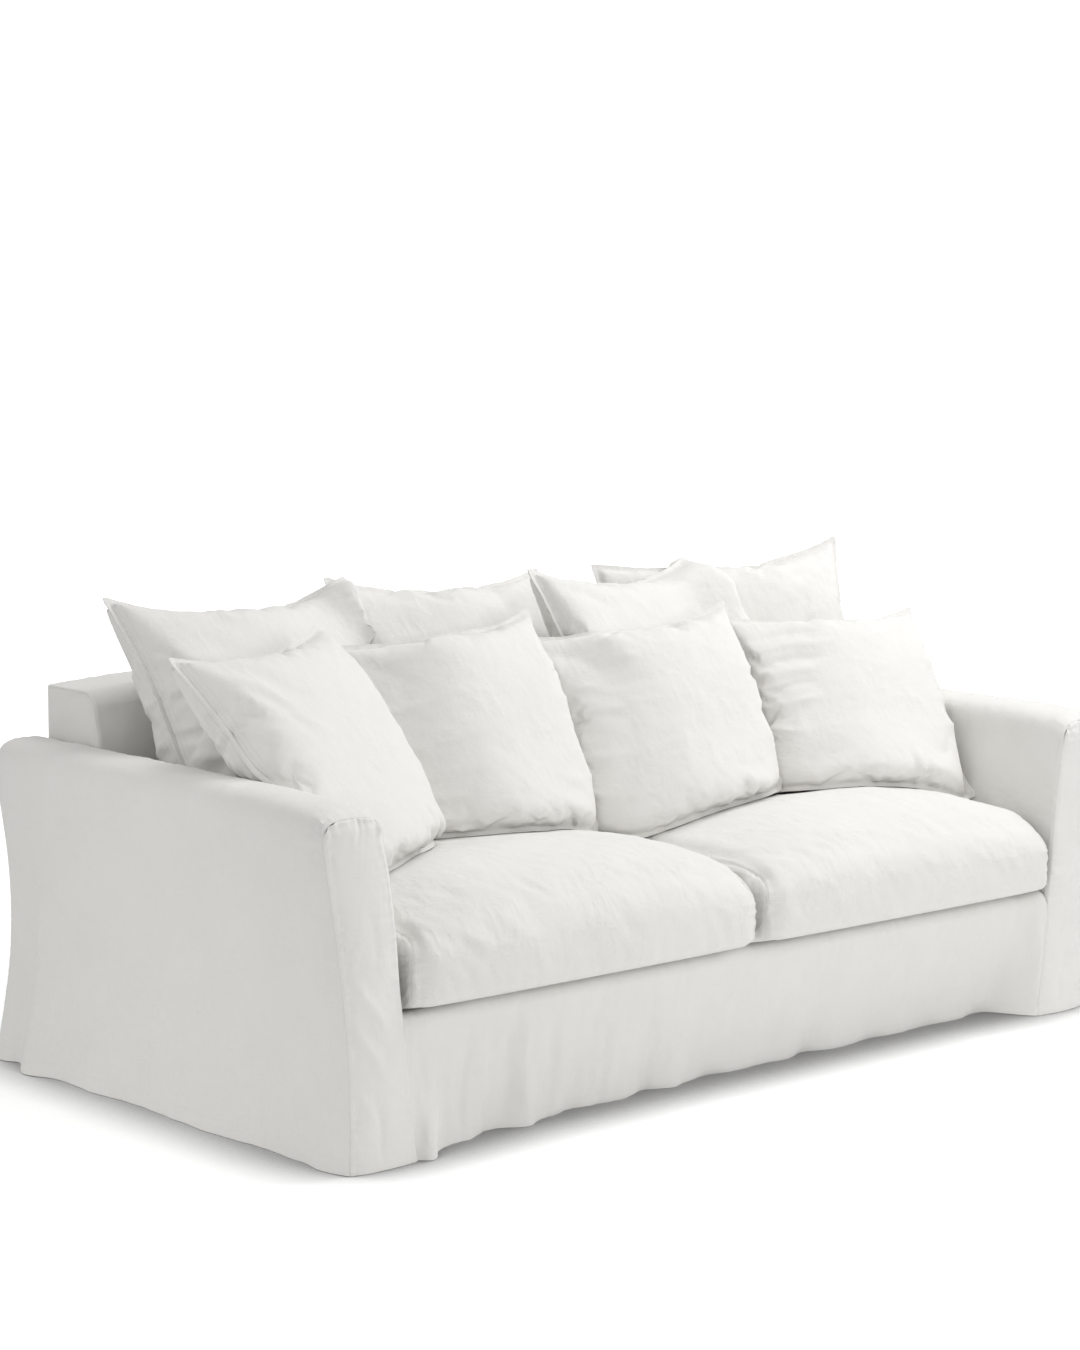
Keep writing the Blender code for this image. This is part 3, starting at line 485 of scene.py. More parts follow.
def lumps(x, y, seed):
    """Soft random heights from about -1 to 1 over a plane, with lumps one unit wide."""
    cell_x, cell_y = np.floor(x), np.floor(y)
    part_x, part_y = x - cell_x, y - cell_y

    def corner(step_x, step_y):
        hashed = np.sin((cell_x + step_x) * 127.1 + (cell_y + step_y) * 311.7 + seed * 74.7) * 43758.5453
        angle = 2.0 * math.pi * (hashed - np.floor(hashed))
        return np.cos(angle) * (part_x - step_x) + np.sin(angle) * (part_y - step_y)

    ease_x = part_x ** 3 * (part_x * (part_x * 6.0 - 15.0) + 10.0)
    ease_y = part_y ** 3 * (part_y * (part_y * 6.0 - 15.0) + 10.0)
    low = corner(0, 0) + ease_x * (corner(1, 0) - corner(0, 0))
    high = corner(0, 1) + ease_x * (corner(1, 1) - corner(0, 1))
    return 1.5 * (low + ease_y * (high - low))


def crumple(x, y, seed, stretch=1.0):
    """The small sharp-ridged creases of washed linen, about 1 high, longer along y by stretch."""
    drift_x = x + 0.03 * lumps(x / 0.11, y / 0.11, seed + 5.0)
    drift_y = y + 0.03 * lumps(x / 0.11, y / 0.11, seed + 9.0)
    total = np.zeros(np.broadcast(x, y).shape)
    for size, share, turn in ((0.085, 1.0, 0.3), (0.045, 0.55, 1.4), (0.024, 0.30, 2.3)):
        u = drift_x * math.cos(turn) + drift_y / stretch * math.sin(turn)
        v = drift_y / stretch * math.cos(turn) - drift_x * math.sin(turn)
        ridge = 1.0 - np.abs(lumps(u / size, v / (1.6 * size), seed + turn)) * 1.6
        total += share * np.clip(ridge, -1.0, 1.0) ** 3
    patches = smooth(0.5 + 0.9 * lumps(x / 0.22, y / 0.22, seed + 17.0))
    return total * (0.35 + 0.65 * patches)


def seam_relief(distance):
    """The groove of a seam with the allowance lying flat beside it, from the distance to it."""
    groove = -0.0012 * np.exp(-(distance / 0.0022) ** 2)
    allowance = 0.0010 * smooth((0.0125 - distance) / 0.003) * smooth(distance / 0.003)
    stitched = -0.0005 * sum(np.exp(-((distance - row) / 0.0016) ** 2) for row in SEAM_ROWS)
    return groove + allowance + stitched


def hem_relief(height, fold=HEM_FOLD):
    """The step of a turned-up hem, and the groove that its stitches draw."""
    step = 0.0007 * smooth((fold - height) / 0.002)
    return step, -0.0006 * np.exp(-((height - fold + 0.0015) / 0.002) ** 2)


def puckers(run, distance, seed, reach=0.03, pitch=0.014):
    """Little gathers that run off a seam: along it they repeat unevenly, and away from it they fade."""
    distance = np.maximum(distance, 0.0)
    phase = run / pitch + 0.9 * lumps(run / (3.0 * pitch), np.zeros_like(run) + seed, seed)
    uneven = lumps(run / (6.0 * pitch), np.zeros_like(run) - seed, seed + 3.0)
    strength = np.clip(0.55 + 0.8 * uneven, 0.05, 1.2)
    fade = np.exp(-(distance / reach) ** 1.4) * smooth(distance / 0.004)
    return strength * fade * np.sin(2.0 * math.pi * phase)


def spaced(step, curve, first, last):
    """Parameters from first to last at even steps of length along a curve of points."""
    dense = np.linspace(first, last, 1500)
    points = curve(dense)
    length = np.concatenate([[0.0], np.cumsum(np.linalg.norm(np.diff(points, axis=0), axis=1))])
    count = max(int(round(length[-1] / step)), 2)
    return np.interp(np.linspace(0.0, length[-1], count + 1), length, dense)


def graded(length, step, near_start=True, near_end=True):
    """Distances from 0 to length, close together by its sewn ends and step apart between them."""
    fine = np.array([0.0, 0.0016, 0.0035, 0.0060, 0.0085, 0.0110, 0.0140, 0.0180, 0.0230])
    start = fine if near_start else np.array([0.0])
    end = length - (fine if near_end else np.array([0.0]))
    count = max(int(round((end.min() - start.max()) / step)), 1)
    return np.unique(np.concatenate([start, np.linspace(start.max(), end.min(), count + 1), end]))


# ---- making meshes -------------------------------------------------------------------------------

def grid_normals(points):
    """Unit normals of a grid of points."""
    across = np.gradient(points, axis=0)
    along = np.gradient(points, axis=1)
    normal = np.cross(across, along)
    return normal / np.maximum(np.linalg.norm(normal, axis=2, keepdims=True), 1e-12)


def new_object(name, points, faces, maps, material):
    """An object from arrays of points and four-cornered faces, with its maps of cloth and seams."""
    mesh = bpy.data.meshes.new(f"{name}_linen")
    mesh.vertices.add(len(points))
    mesh.vertices.foreach_set("co", np.ascontiguousarray(points, dtype=np.float32).ravel())
    mesh.loops.add(faces.size)
    mesh.loops.foreach_set("vertex_index", faces.ravel().astype(np.int32))
    mesh.polygons.add(len(faces))
    mesh.polygons.foreach_set("loop_start", np.arange(0, faces.size, 4, dtype=np.int32))
    mesh.update(calc_edges=True)
    mesh.validate()
    for label, values in maps.items():
        layer = mesh.uv_layers.new(name=label)
        layer.data.foreach_set("uv", values.reshape(-1, 2).astype(np.float32).ravel())
    mesh.shade_smooth()
    mesh.materials.append(material)
    piece = bpy.data.objects.new(f"{name}_linen", mesh)
    bpy.context.scene.collection.objects.link(piece)
    return piece


def grid_quads(index):
    """The four-cornered faces of a grid of point numbers."""
    corners = (index[:-1, :-1], index[1:, :-1], index[1:, 1:], index[:-1, 1:])
    return np.stack(corners, axis=-1).reshape(-1, 4)


def closed_object(name, outer, inner, cloth, seam, hem, material):
    """A closed piece from its outer and inner face as grids of points, with a rim between them."""
    index = np.arange(outer.shape[0] * outer.shape[1]).reshape(outer.shape[:2])
    quads = grid_quads(index)
    ring = np.concatenate([index[:, 0], index[-1, 1:], index[-2::-1, -1], index[0, -2:0:-1]])
    after = np.roll(ring, -1)
    rim = np.stack([after, ring, ring + index.size, after + index.size], axis=-1)
    faces = np.concatenate([quads, quads[:, ::-1] + index.size, rim])
    points = np.concatenate([outer.reshape(-1, 3), inner.reshape(-1, 3)])
    corners = faces % index.size
    maps = {label: values.reshape(-1, 2)[corners]
            for label, values in (("Cloth", cloth), ("Seam", seam), ("Hem", hem))}
    return new_object(name, points, faces, maps, material)


def sheet_object(name, outer, cloth, seam, hem):
    """A closed sheet of the cover's cloth, from its outer face as a grid of points."""
    inner = outer - grid_normals(outer) * bpy.context.scene.sofa_linen.thickness
    piece = closed_object(name, outer, inner, cloth, seam, hem, linen_for("cover"))
    sharpen(piece, 60.0)
    return piece


def sharpen(piece, degrees):
    """Keep the edges sharp that turn more than an angle."""
    piece.data.set_sharp_from_angle(angle=math.radians(degrees))


def face_outwards(piece):
    """Turn a closed piece's faces to point outwards."""
    data = bmesh.new()
    data.from_mesh(piece.data)
    bmesh.ops.recalc_face_normals(data, faces=data.faces)
    data.to_mesh(piece.data)
    data.free()


def place_piece(piece, node):
    """Move a piece from the working origin to the frame's, where it stands for a node."""
    piece.data.transform(Matrix.Translation((0.0, ARM_FRONT_Y, HEM_Z)))
    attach(piece, "root")
    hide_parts(node)
    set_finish(piece, node)


def place_cloth(piece, node):
    """Put a sheet in its place."""
    place_piece(piece, node)


def pair(first, second):
    """Two arrays as one array of pairs."""
    return np.stack(np.broadcast_arrays(first, second), axis=-1)


def girth(points, axis):
    """Length along one way of a grid of points, from its first row."""
    steps = np.linalg.norm(np.diff(points, axis=axis), axis=2)
    return np.insert(np.cumsum(steps, axis=axis), 0, 0.0, axis=axis)


# ---- materials -----------------------------------------------------------------------------------

def linear(hex_colour):
    """A linear colour from an sRGB hex value."""
    parts = [int(hex_colour[i:i + 2], 16) / 255.0 for i in (1, 3, 5)]
    return tuple(p / 12.92 if p <= 0.04045 else ((p + 0.055) / 1.055) ** 2.4 for p in parts) + (1.0,)


def add_node(tree, kind, links=None, **settings):
    """One shader node: settings are its own values, links maps input names to sockets or values."""
    node = tree.nodes.new(kind)
    for key, value in settings.items():
        setattr(node, key, value)
    for key, value in (links or {}).items():
        socket = node.inputs[key]
        if isinstance(value, bpy.types.NodeSocket):
            tree.links.new(value, socket)
        else:
            socket.default_value = value
    return node


def washed_linen(name, wrinkles, stitching):
    """Plain-woven linen, washed and not pressed: matt, with slubs in both directions, a dry nap that
    lightens grazing edges, lockstitched rows a little darker than the cloth, painted shade along each
    seam's groove, and painted shade wherever the cloth is hemmed in."""
    linen = bpy.context.scene.sofa_linen
    material = bpy.data.materials.new(name)
    material.use_nodes = True
    tree = material.node_tree
    finish = tree.nodes["Principled BSDF"]
    cloth = add_node(tree, "ShaderNodeUVMap", uv_map="Cloth").outputs["UV"]
    seam = add_node(tree, "ShaderNodeUVMap", uv_map="Seam").outputs["UV"]
    hem = add_node(tree, "ShaderNodeUVMap", uv_map="Hem").outputs["UV"]

    def maths(operation, *values, clamp=False):
        return add_node(tree, "ShaderNodeMath", dict(enumerate(values)), operation=operation,
                        use_clamp=clamp).outputs[0]

    def noise(scale, detail, stretch=(1.0, 1.0)):
        mapped = add_node(tree, "ShaderNodeMapping", {"Vector": cloth, "Scale": (*stretch, 1.0)})
        return add_node(tree, "ShaderNodeTexNoise", {"Vector": mapped.outputs[0], "Scale": scale,
                                                     "Detail": detail}).outputs[0]

    # Threads: one wave each way, the crossing ones half a step apart, as in a plain weave
    parts = add_node(tree, "ShaderNodeSeparateXYZ", {"Vector": cloth})
    turn = 2.0 * math.pi / linen.thread
    warp = maths("SINE", maths("MULTIPLY", parts.outputs[0], turn))
    weft = maths("SINE", maths("MULTIPLY", parts.outputs[1], turn))
    weave = maths("MULTIPLY", warp, weft)
    # Slubs: thick places of a thread, 20 to 60 mm long and a thread or two wide
    warp_slub = noise(420.0, 2.0, (1.0, 0.05))
    weft_slub = noise(420.0, 2.0, (0.05, 1.0))
    slubs = maths("MAXIMUM", warp_slub, weft_slub)
    shaded = maths("MULTIPLY", maths("SUBTRACT", slubs, 0.60), 2.6, clamp=True)
    cloudy = maths("MULTIPLY", noise(9.0, 3.0), 0.30)

    thread_width = 0.0011
    groove_width = 0.0026

    def stitches(source, first, second):
        """Two rows of stitches beside an edge, from a map of run along it and distance to it."""
        split = add_node(tree, "ShaderNodeSeparateXYZ", {"Vector": source})
        dash = maths("LESS_THAN", maths("FRACT", maths("DIVIDE", split.outputs[0], linen.stitch)), 0.66)
        rows = []
        for place in (first, second):
            away = maths("ABSOLUTE", maths("SUBTRACT", split.outputs[1], place))
            rows.append(maths("SUBTRACT", 1.0, maths("DIVIDE", away, thread_width), clamp=True))
        return maths("MULTIPLY", maths("MAXIMUM", *rows), dash)

    sewn = maths("MAXIMUM", stitches(seam, *SEAM_ROWS), stitches(hem, *HEM_ROWS))
    # Painted shade: a darker line along each seam, standing in for the shade in its groove
    split = add_node(tree, "ShaderNodeSeparateXYZ", {"Vector": seam})
    painted_groove_shade = maths("SUBTRACT", 1.0, maths("DIVIDE", split.outputs[1], groove_width), clamp=True)

    grey = maths("ADD", maths("MULTIPLY", shaded, 0.35), cloudy)
    grey = maths("MAXIMUM", grey, maths("MULTIPLY", sewn, stitching))
    grey = maths("MAXIMUM", grey, maths("MULTIPLY", painted_groove_shade, 0.55), clamp=True)
    colour = add_node(tree, "ShaderNodeMix", {0: grey, 6: linear(linen.colour), 7: linear(linen.shade)},
                      data_type="RGBA")
    # Painted shade: where the ambient occlusion finds the cloth hemmed in (in the seams, in the puckers and
    # under the cushions), its colour is darkened towards a dark grey, standing in for the shade that falls
    # there
    painted_shade_occlusion = add_node(tree, "ShaderNodeAmbientOcclusion", {"Distance": 0.05}, samples=8).outputs["AO"]
    painted_shade_openness = add_node(tree, "ShaderNodeMapRange", {"Value": painted_shade_occlusion, "From Min": 0.05, "From Max": 0.55,
                                                      "To Min": 0.60, "To Max": 1.0}).outputs[0]
    colour_with_painted_shade = add_node(tree, "ShaderNodeMix", {0: painted_shade_openness, 6: (0.10, 0.098, 0.092, 1.0),
                                                     7: colour.outputs[2]}, data_type="RGBA")
    tree.links.new(colour_with_painted_shade.outputs[2], finish.inputs["Base Color"])

    # Fine wrinkles: ridges where a stretched noise crosses its middle, more of them in some patches
    patches = maths("MULTIPLY", maths("SUBTRACT", noise(6.0, 1.0), 0.38), 4.0, clamp=True)
    ridges = 0.0
    for scale, stretch, share in (
            (17.0, (1.0, 0.45), 1.7), (34.0, (1.0, 0.6), 0.9), (60.0, (0.5, 1.0), 0.45)):
        away = maths("ABSOLUTE", maths("SUBTRACT", noise(scale, 2.0, stretch), 0.5))
        ridge = maths("SUBTRACT", 1.0, maths("MULTIPLY", away, 7.0), clamp=True)
        ridges = maths("ADD", ridges, maths("MULTIPLY", ridge, share * wrinkles))
    ridges = maths("MULTIPLY", ridges, maths("ADD", 0.35, maths("MULTIPLY", patches, 0.65)))
    height = maths("ADD", maths("MULTIPLY", weave, 0.10), maths("MULTIPLY", slubs, 0.55))
    height = maths("ADD", height, maths("MULTIPLY", noise(70.0, 4.0), 1.6))
    height = maths("ADD", height, ridges)
    height = maths("SUBTRACT", height, maths("MULTIPLY", sewn, 1.2 * stitching))
    relief = add_node(tree, "ShaderNodeBump", {"Height": height, "Strength": 0.55, "Distance": 0.0009})
    tree.links.new(relief.outputs[0], finish.inputs["Normal"])
    finish.inputs["Roughness"].default_value = 0.88
    finish.inputs["Sheen Weight"].default_value = 0.18
    finish.inputs["Sheen Roughness"].default_value = 0.55
    finish.inputs["Specular IOR Level"].default_value = 0.25
    return material


def studio_floor(lift):
    """Matt white paper with a glow of its own. Where the camera sees it, the glow is weaker within a few
    metres of the middle, and close to what stands on it a painted contact shadow darkens it and dims the
    glow; to other rays it is plain pale paper whose faint even glow lights what stands on it.
    """
    material = bpy.data.materials.new("white_paper_floor")
    material.use_nodes = True
    tree = material.node_tree
    finish = tree.nodes["Principled BSDF"]
    finish.inputs["Roughness"].default_value = 0.9
    finish.inputs["Specular IOR Level"].default_value = 0.1
    finish.inputs["Emission Color"].default_value = (1.0, 1.0, 1.0, 1.0)
    # For the camera the glow rises from the floor glow setting to full strength between 1.4 and 4 m from the
    # middle
    place = add_node(tree, "ShaderNodeTexCoord").outputs["Object"]
    away = add_node(tree, "ShaderNodeVectorMath", {0: place}, operation="LENGTH").outputs["Value"]
    far = add_node(tree, "ShaderNodeMapRange", {"Value": away, "From Min": 1.4, "From Max": 4.0,
                                                "To Min": lift, "To Max": 1.0}).outputs[0]
    # Painted contact shadow: the ambient occlusion finds where the paper lies close to what stands on it
    painted_shade_openness = add_node(tree, "ShaderNodeAmbientOcclusion", {"Distance": 0.22}, samples=8).outputs["AO"]
    near = add_node(tree, "ShaderNodeMapRange", {"Value": painted_shade_openness, "From Min": 0.44,
                                                 "From Max": 0.87}).outputs[0]
    shade = add_node(tree, "ShaderNodeMapRange", {"Value": near, "To Min": 0.30, "To Max": 0.87}).outputs[0]
    seen = add_node(tree, "ShaderNodeLightPath").outputs["Is Camera Ray"]
    # Painted contact shadow in the paper's colour for camera rays; other rays see plain pale paper
    paper = add_node(tree, "ShaderNodeMix", {0: seen, 2: 0.87, 3: shade}).outputs[0]
    tree.links.new(paper, finish.inputs["Base Color"])
    # For the camera the glow dims with the painted contact shadow; other rays get a faint even glow that
    # lights what stands on the floor
    glow = add_node(tree, "ShaderNodeMath", {0: near, 1: far}, operation="MULTIPLY").outputs[0]
    glow = add_node(tree, "ShaderNodeMix", {0: seen, 2: 0.08, 3: glow}).outputs[0]
    tree.links.new(glow, finish.inputs["Emission Strength"])
    return material


def linen_for(use):
    """The linen of the cover, the seat cushions or the scatter cushions, made once each."""
    name = f"washed_linen_{use}"
    return bpy.data.materials.get(name) or washed_linen(name, *FINISHES[use])


# ---- arms ----------------------------------------------------------------------------------------

def arm_roll(depth):
    """Height of an arm's rolled top over its shoulder, a little higher behind the front edge."""
    return ARM_ROLL + ARM_CROWN * (1.0 - np.exp(-np.maximum(depth, 0.0) / 0.07))


def wall_foot(depth):
    """Height of the inside arm's lower edge, which follows the skirt's rolled edge and the deck."""
    clear = SKIRT_ROLL + 0.0009
    before = np.maximum(SKIRT_ROLL - np.maximum(depth, 0.0), 0.0)
    return SKIRT_UPRIGHT + np.sqrt(clear ** 2 - before ** 2)


def rear_plane(across, height):
    """Distance of the outside back behind the arm fronts."""
    flare = REAR_FLARE * (1.0 - smooth(height / 0.45)) ** 1.5
    return DEPTH + flare + smooth((0.93 - np.abs(across)) / 0.10) * folds(REAR_FOLDS, across, height)


def arm_outline(around, depth, foot):
    """Half width and height round an arm: 0 outside hem, 1 to 2 over the roll, 3 inside foot."""
    around, depth = np.broadcast_arrays(around, depth)
    low = np.clip(around, 0.0, 1.0) * ARM_SHOULDER
    spread_out = FLARE_OUT * depth / DEPTH * (1.0 - low / ARM_SHOULDER) ** 2.2
    fade = smooth(depth / 0.04) * smooth((DEPTH - depth - 0.018) / 0.04)
    outside = read(ARM_SIDES, "outside", low) + spread_out + fade * folds(ARM_FOLDS, depth, low)
    high = foot + (ARM_SHOULDER - foot) * np.clip(3.0 - around, 0.0, 1.0)
    inside = read(ARM_SIDES, "inside", high)
    angle = math.pi * (np.clip(around, 1.0, 2.0) - 1.0)
    cosine, sine = np.cos(angle), np.maximum(np.sin(angle), 0.0)
    over = ARM_MIDDLE + ARM_REACH * np.sign(cosine) * np.abs(cosine) ** (2.0 / ROLL_POWER)
    top = ARM_SHOULDER + arm_roll(depth) * sine ** (2.0 / ROLL_POWER)
    x = np.where(around <= 1.0, outside, np.where(around >= 2.0, inside, over))
    z = np.where(around <= 1.0, low, np.where(around >= 2.0, high, top))
    return x, z


def arm_point_grid(side, around, depth):
    """The arm cover's outer face as a grid of points."""
    a, d = np.meshgrid(around, depth, indexing="ij")
    half, height = arm_outline(a, d, wall_foot(d))
    behind_back = smooth((a - 1.55) / 0.12) * 0.0036
    y = d / DEPTH * (rear_plane(half, height) - behind_back)
    return np.stack([side * half, y, height], axis=-1)


def make_arm_cover(side, name):
    """One length of cloth from the outside hem over the roll to the deck."""
    linen = bpy.context.scene.sofa_linen

    def half_way(around):
        return np.stack(arm_outline(around, 0.5, wall_foot(0.5)), axis=-1)

    around = spaced(0.0075, half_way, 0.0, 3.0)
    depth = graded(DEPTH, 0.0085)
    points = arm_point_grid(side, around, depth)
    a, d = np.meshgrid(around, depth, indexing="ij")
    run, height = girth(points, 0), points[..., 2]
    seed = 11.0 if side < 0 else 31.0
    to_seam = np.minimum(d, DEPTH - d)
    edge = smooth(to_seam / 0.02) * smooth((3.0 - a) / 0.05)
    outside = smooth((1.1 - a) / 0.2)
    low = np.clip(1.0 - height / 0.42, 0.0, 1.0)
    relief = outside * edge * creases(ARM_CREASES, d, height)
    relief += edge * linen.crumple * 1.5 * crumple(d, run, seed, 1.5)
    relief += edge * outside * 0.0030 * low * lumps(d / 0.045, height / 0.45, seed + 2.0)
    over = smooth((a - 0.9) / 0.2) * smooth((2.1 - a) / 0.2)
    relief += edge * over * 0.0014 * lumps(d / 0.035, run / 0.12, seed + 4.0)
    bumps = lumps(run / 0.017, d / 0.06, seed + 6.0)
    relief += over * 0.0022 * bumps * np.exp(-d / 0.028) * smooth(d / 0.003)
    relief += (0.0022 + 0.0014 * over) * puckers(run, d, seed, 0.035, 0.017) * smooth(d / 0.02 + 0.2)
    relief += 0.0012 * puckers(run, DEPTH - d, seed + 1.0, 0.035, 0.022)
    relief += seam_relief(d) * smooth(d / 0.001 + 0.4) + 0.5 * seam_relief(DEPTH - d)
    relief -= corner_pull(a) * (1.0 - smooth(d / 0.035))
    step, groove = hem_relief(height)
    relief += step * smooth((1.0 - a) / 0.1) + groove * (a < 1.0)
    normals = grid_normals(points) * (-side)
    points = points + normals * relief[..., None]
    points[..., 2] = np.maximum(points[..., 2], 0.0)
    if side > 0:
        points, run, height, d, to_seam, a = (v[::-1] for v in (points, run, height, d, to_seam, a))
    hem = np.where(a <= 1.0, height, 1.0)
    piece = sheet_object(name, points, pair(d, run), pair(run, to_seam), pair(d, hem))
    place_cloth(piece, name)


def inside_outline(around, depth, inset):
    """Points round an arm's outline, moved in from its edge by an inset."""
    here, ahead, behind = (np.stack(arm_outline(around + step, depth, 0.0), axis=-1)
                           for step in (0.0, 2e-3, -2e-3))
    way = ahead - behind
    way /= np.linalg.norm(way, axis=-1, keepdims=True)
    return here + np.stack([-way[..., 1], way[..., 0]], axis=-1) * inset


def corner_pull(around):
    """How far the front seam of an arm is drawn in, which rounds its outer corner."""
    return 0.0065 * smooth((2.2 - around) / 0.6)


def facing_grid(parts, across, side, puff):
    """Points of an arm's front facing, sewn just inside the arm cover's front edge."""
    part, over = np.meshgrid(parts, across, indexing="ij")

    def edge(around):
        return inside_outline(around, 0.0, 0.0022 + corner_pull(around)[..., None])

    left, right = edge(part), edge(3.0 - part)
    flat = left + (right - left) * over[..., None]
    low = 1.0 - np.clip(flat[..., 1] / 0.30, 0.0, 1.0)
    bulge = (puff - 0.003 * low ** 1.5) * np.sin(math.pi * over) ** 0.7 * smooth((1.5 - part) / 0.5)
    return np.stack([side * flat[..., 0], -bulge, np.maximum(flat[..., 1], 0.0)], axis=-1)


def make_arm_facing(side, name):
    """The shaped front of an arm, gathered under its rolled top."""
    linen = bpy.context.scene.sofa_linen

    def outer_edge(part):
        return np.stack(arm_outline(part, 0.0, 0.0), axis=-1)

    parts = np.concatenate([spaced(0.0050, outer_edge, 0.0, 1.0),
                            spaced(0.0030, outer_edge, 1.0, 1.497)[1:]])
    across = graded(FACING_WIDTH, 0.0045) / FACING_WIDTH
    points = facing_grid(parts, across, side, 0.010)
    x, z = np.abs(points[..., 0]), points[..., 2]
    seed = 51.0 if side < 0 else 71.0
    middle_x = 0.5 * (points[:, :1, 0] + points[:, -1:, 0])
    half = 0.5 * np.abs(points[:, :1, 0] - points[:, -1:, 0])
    to_side = half - np.abs(points[..., 0] - middle_x)
    reach = np.clip(np.abs(x - ARM_MIDDLE) / ARM_REACH, 0.0, 1.0)
    top = ARM_SHOULDER + ARM_ROLL * (1.0 - reach ** ROLL_POWER) ** (1.0 / ROLL_POWER) - 0.003
    to_top = np.maximum(top - z, 0.0)
    to_seam = np.minimum(to_side, to_top)
    edge = smooth(to_seam / 0.012)
    from_outside = (0.99 if side < 0 else 0.97) - x
    relief = edge * creases(FACING_CREASES, from_outside, z)
    relief += edge * linen.crumple * 1.4 * crumple(x, z, seed, 2.0)
    gathers = lumps(x / 0.009 + 0.8 * lumps(x / 0.03, z / 0.05, seed), z / 0.06, seed + 1.0)
    relief += 0.0058 * gathers * np.exp(-to_top / 0.028) * smooth(to_top / 0.004)
    outer = smooth((x - np.abs(middle_x)) / 0.01)
    relief -= 0.0026 * outer * np.exp(-((to_side - 0.009) / 0.006) ** 2) * smooth(to_top / 0.02)
    relief += 0.0024 * puckers(z, to_side, seed, 0.024, 0.019)
    relief += seam_relief(to_seam)
    points[..., 1] -= np.maximum(relief, -0.004)
    if side < 0:
        points, z, to_seam, x = (v[:, ::-1] for v in (points, z, to_seam, x))
    points, z, to_seam, x = (v[::-1] for v in (points, z, to_seam, x))
    piece = sheet_object(name, points, pair(x, z), pair(z + x, to_seam), pair(x, z))
    place_cloth(piece, name)


# ---- skirt and deck ------------------------------------------------------------------------------

def skirt_front(across, height):
    """Distance behind the arm fronts of the skirt's face, across from -1 to 1."""
    half = read(ARM_SIDES, "inside", height) + SKIRT_LAP
    x = across * half
    centre = smooth((1.0 - np.abs(across)) / np.where(across < 0.0, 0.22, 0.08))
    low = 1.0 - np.minimum(height / SKIRT_UPRIGHT, 1.0)
    setback = centre * (SKIRT_TOP_SETBACK + (SKIRT_SETBACK - SKIRT_TOP_SETBACK) * low)
    out = folds(SKIRT_FOLDS, x, height) * smooth((1.0 - np.abs(across)) / 0.03)
    return x, setback - out


def make_skirt():
    """The front drop, softly pleated, rolled over the front rail on to the deck."""
    linen = bpy.context.scene.sofa_linen
    across = graded(2 * SKIRT_HALF, 0.0060) / SKIRT_HALF - 1.0
    upright = np.linspace(0.0, SKIRT_UPRIGHT, 33)
    angles = np.linspace(0.0, 0.5 * math.pi, 9)[1:]
    inward = np.linspace(0.0, 1.0, 7)[1:]
    rows = []
    for height in upright:
        x, y = skirt_front(across, np.full_like(across, height))
        rows.append(np.stack([x, y, np.full_like(x, height)], axis=-1))
    for angle in angles:
        over = SKIRT_UPRIGHT + SKIRT_ROLL * math.sin(angle)
        x = across * (read(ARM_SIDES, "inside", over) + SKIRT_LAP)
        upper_edge = skirt_front(across, np.full_like(across, SKIRT_UPRIGHT))[1]
        y = upper_edge + SKIRT_ROLL * (1.0 - math.cos(angle))
        rows.append(np.stack([x, y, np.full_like(x, over)], axis=-1))
    start = rows[-1]
    for part in inward:
        row = start.copy()
        row[:, 1] += (DECK_FRONT - start[:, 1]) * part
        rows.append(row)
    points = np.stack(rows, axis=1)
    x, height = points[..., 0], points[..., 2]
    run = girth(points, 1)
    to_side = 0.8285 - np.abs(x)
    edge = smooth(to_side / 0.015)
    front = smooth((0.30 - run) / 0.04)
    left = smooth((0.35 - x) / 0.9)
    hang = np.clip(1.0 - height / (0.95 * SKIRT_UPRIGHT), 0.0, 1.0)
    relief = edge * front * creases(SKIRT_CREASES, x, height)
    pleats = lumps(x / 0.045, height / 0.35, 3.0) + 0.35 * lumps(x / 0.020, height / 0.25, 5.0)
    relief += edge * front * hang ** 0.6 * (0.0008 + 0.0032 * left ** 1.5) * pleats
    relief += edge * front * linen.crumple * 1.5 * crumple(x, run, 7.0, 2.4)
    fine = lumps(x / 0.016 + 0.6 * lumps(x / 0.06, run / 0.09, 8.0), run / 0.22, 9.0)
    relief += edge * front * 0.0016 * fine * smooth(0.6 + lumps(x / 0.15, run / 0.2, 10.0))
    relief += seam_relief(to_side) * front
    relief += sum(hem_relief(height, SKIRT_HEM_FOLD))
    normals = grid_normals(points)
    points = points + normals * relief[..., None]
    points[..., 2] = np.clip(points[..., 2], 0.0, DECK)
    piece = sheet_object("skirt_panel", points, pair(x, run), pair(height, to_side),
                         pair(x, run + SKIRT_ROWS_LOWER))
    place_cloth(piece, "skirt_panel")


def make_deck():
    """Plain cloth over the seat platform, out of sight under the cushions."""
    x, y = np.meshgrid(np.linspace(-DECK_HALF, DECK_HALF, 61),
                       np.linspace(DECK_FRONT + 0.0004, BACK_FOOT, 24), indexing="ij")
    wave = 0.0003 * lumps(x / 0.12, y / 0.12, 4.0)
    points = np.stack([x, y, DECK - 0.0006 + wave], axis=-1)
    far = np.ones_like(x)
    piece = sheet_object("seat_deck", points, pair(x, y), pair(x, far), pair(x, far))
    place_cloth(piece, "seat_deck")


# ---- back ----------------------------------------------------------------------------------------

def back_top(across):
    """Height of the back's top, crowned between its ends."""
    return BACK_TOP + BACK_CROWN * (1.0 - (across / BACK_HALF) ** 4)


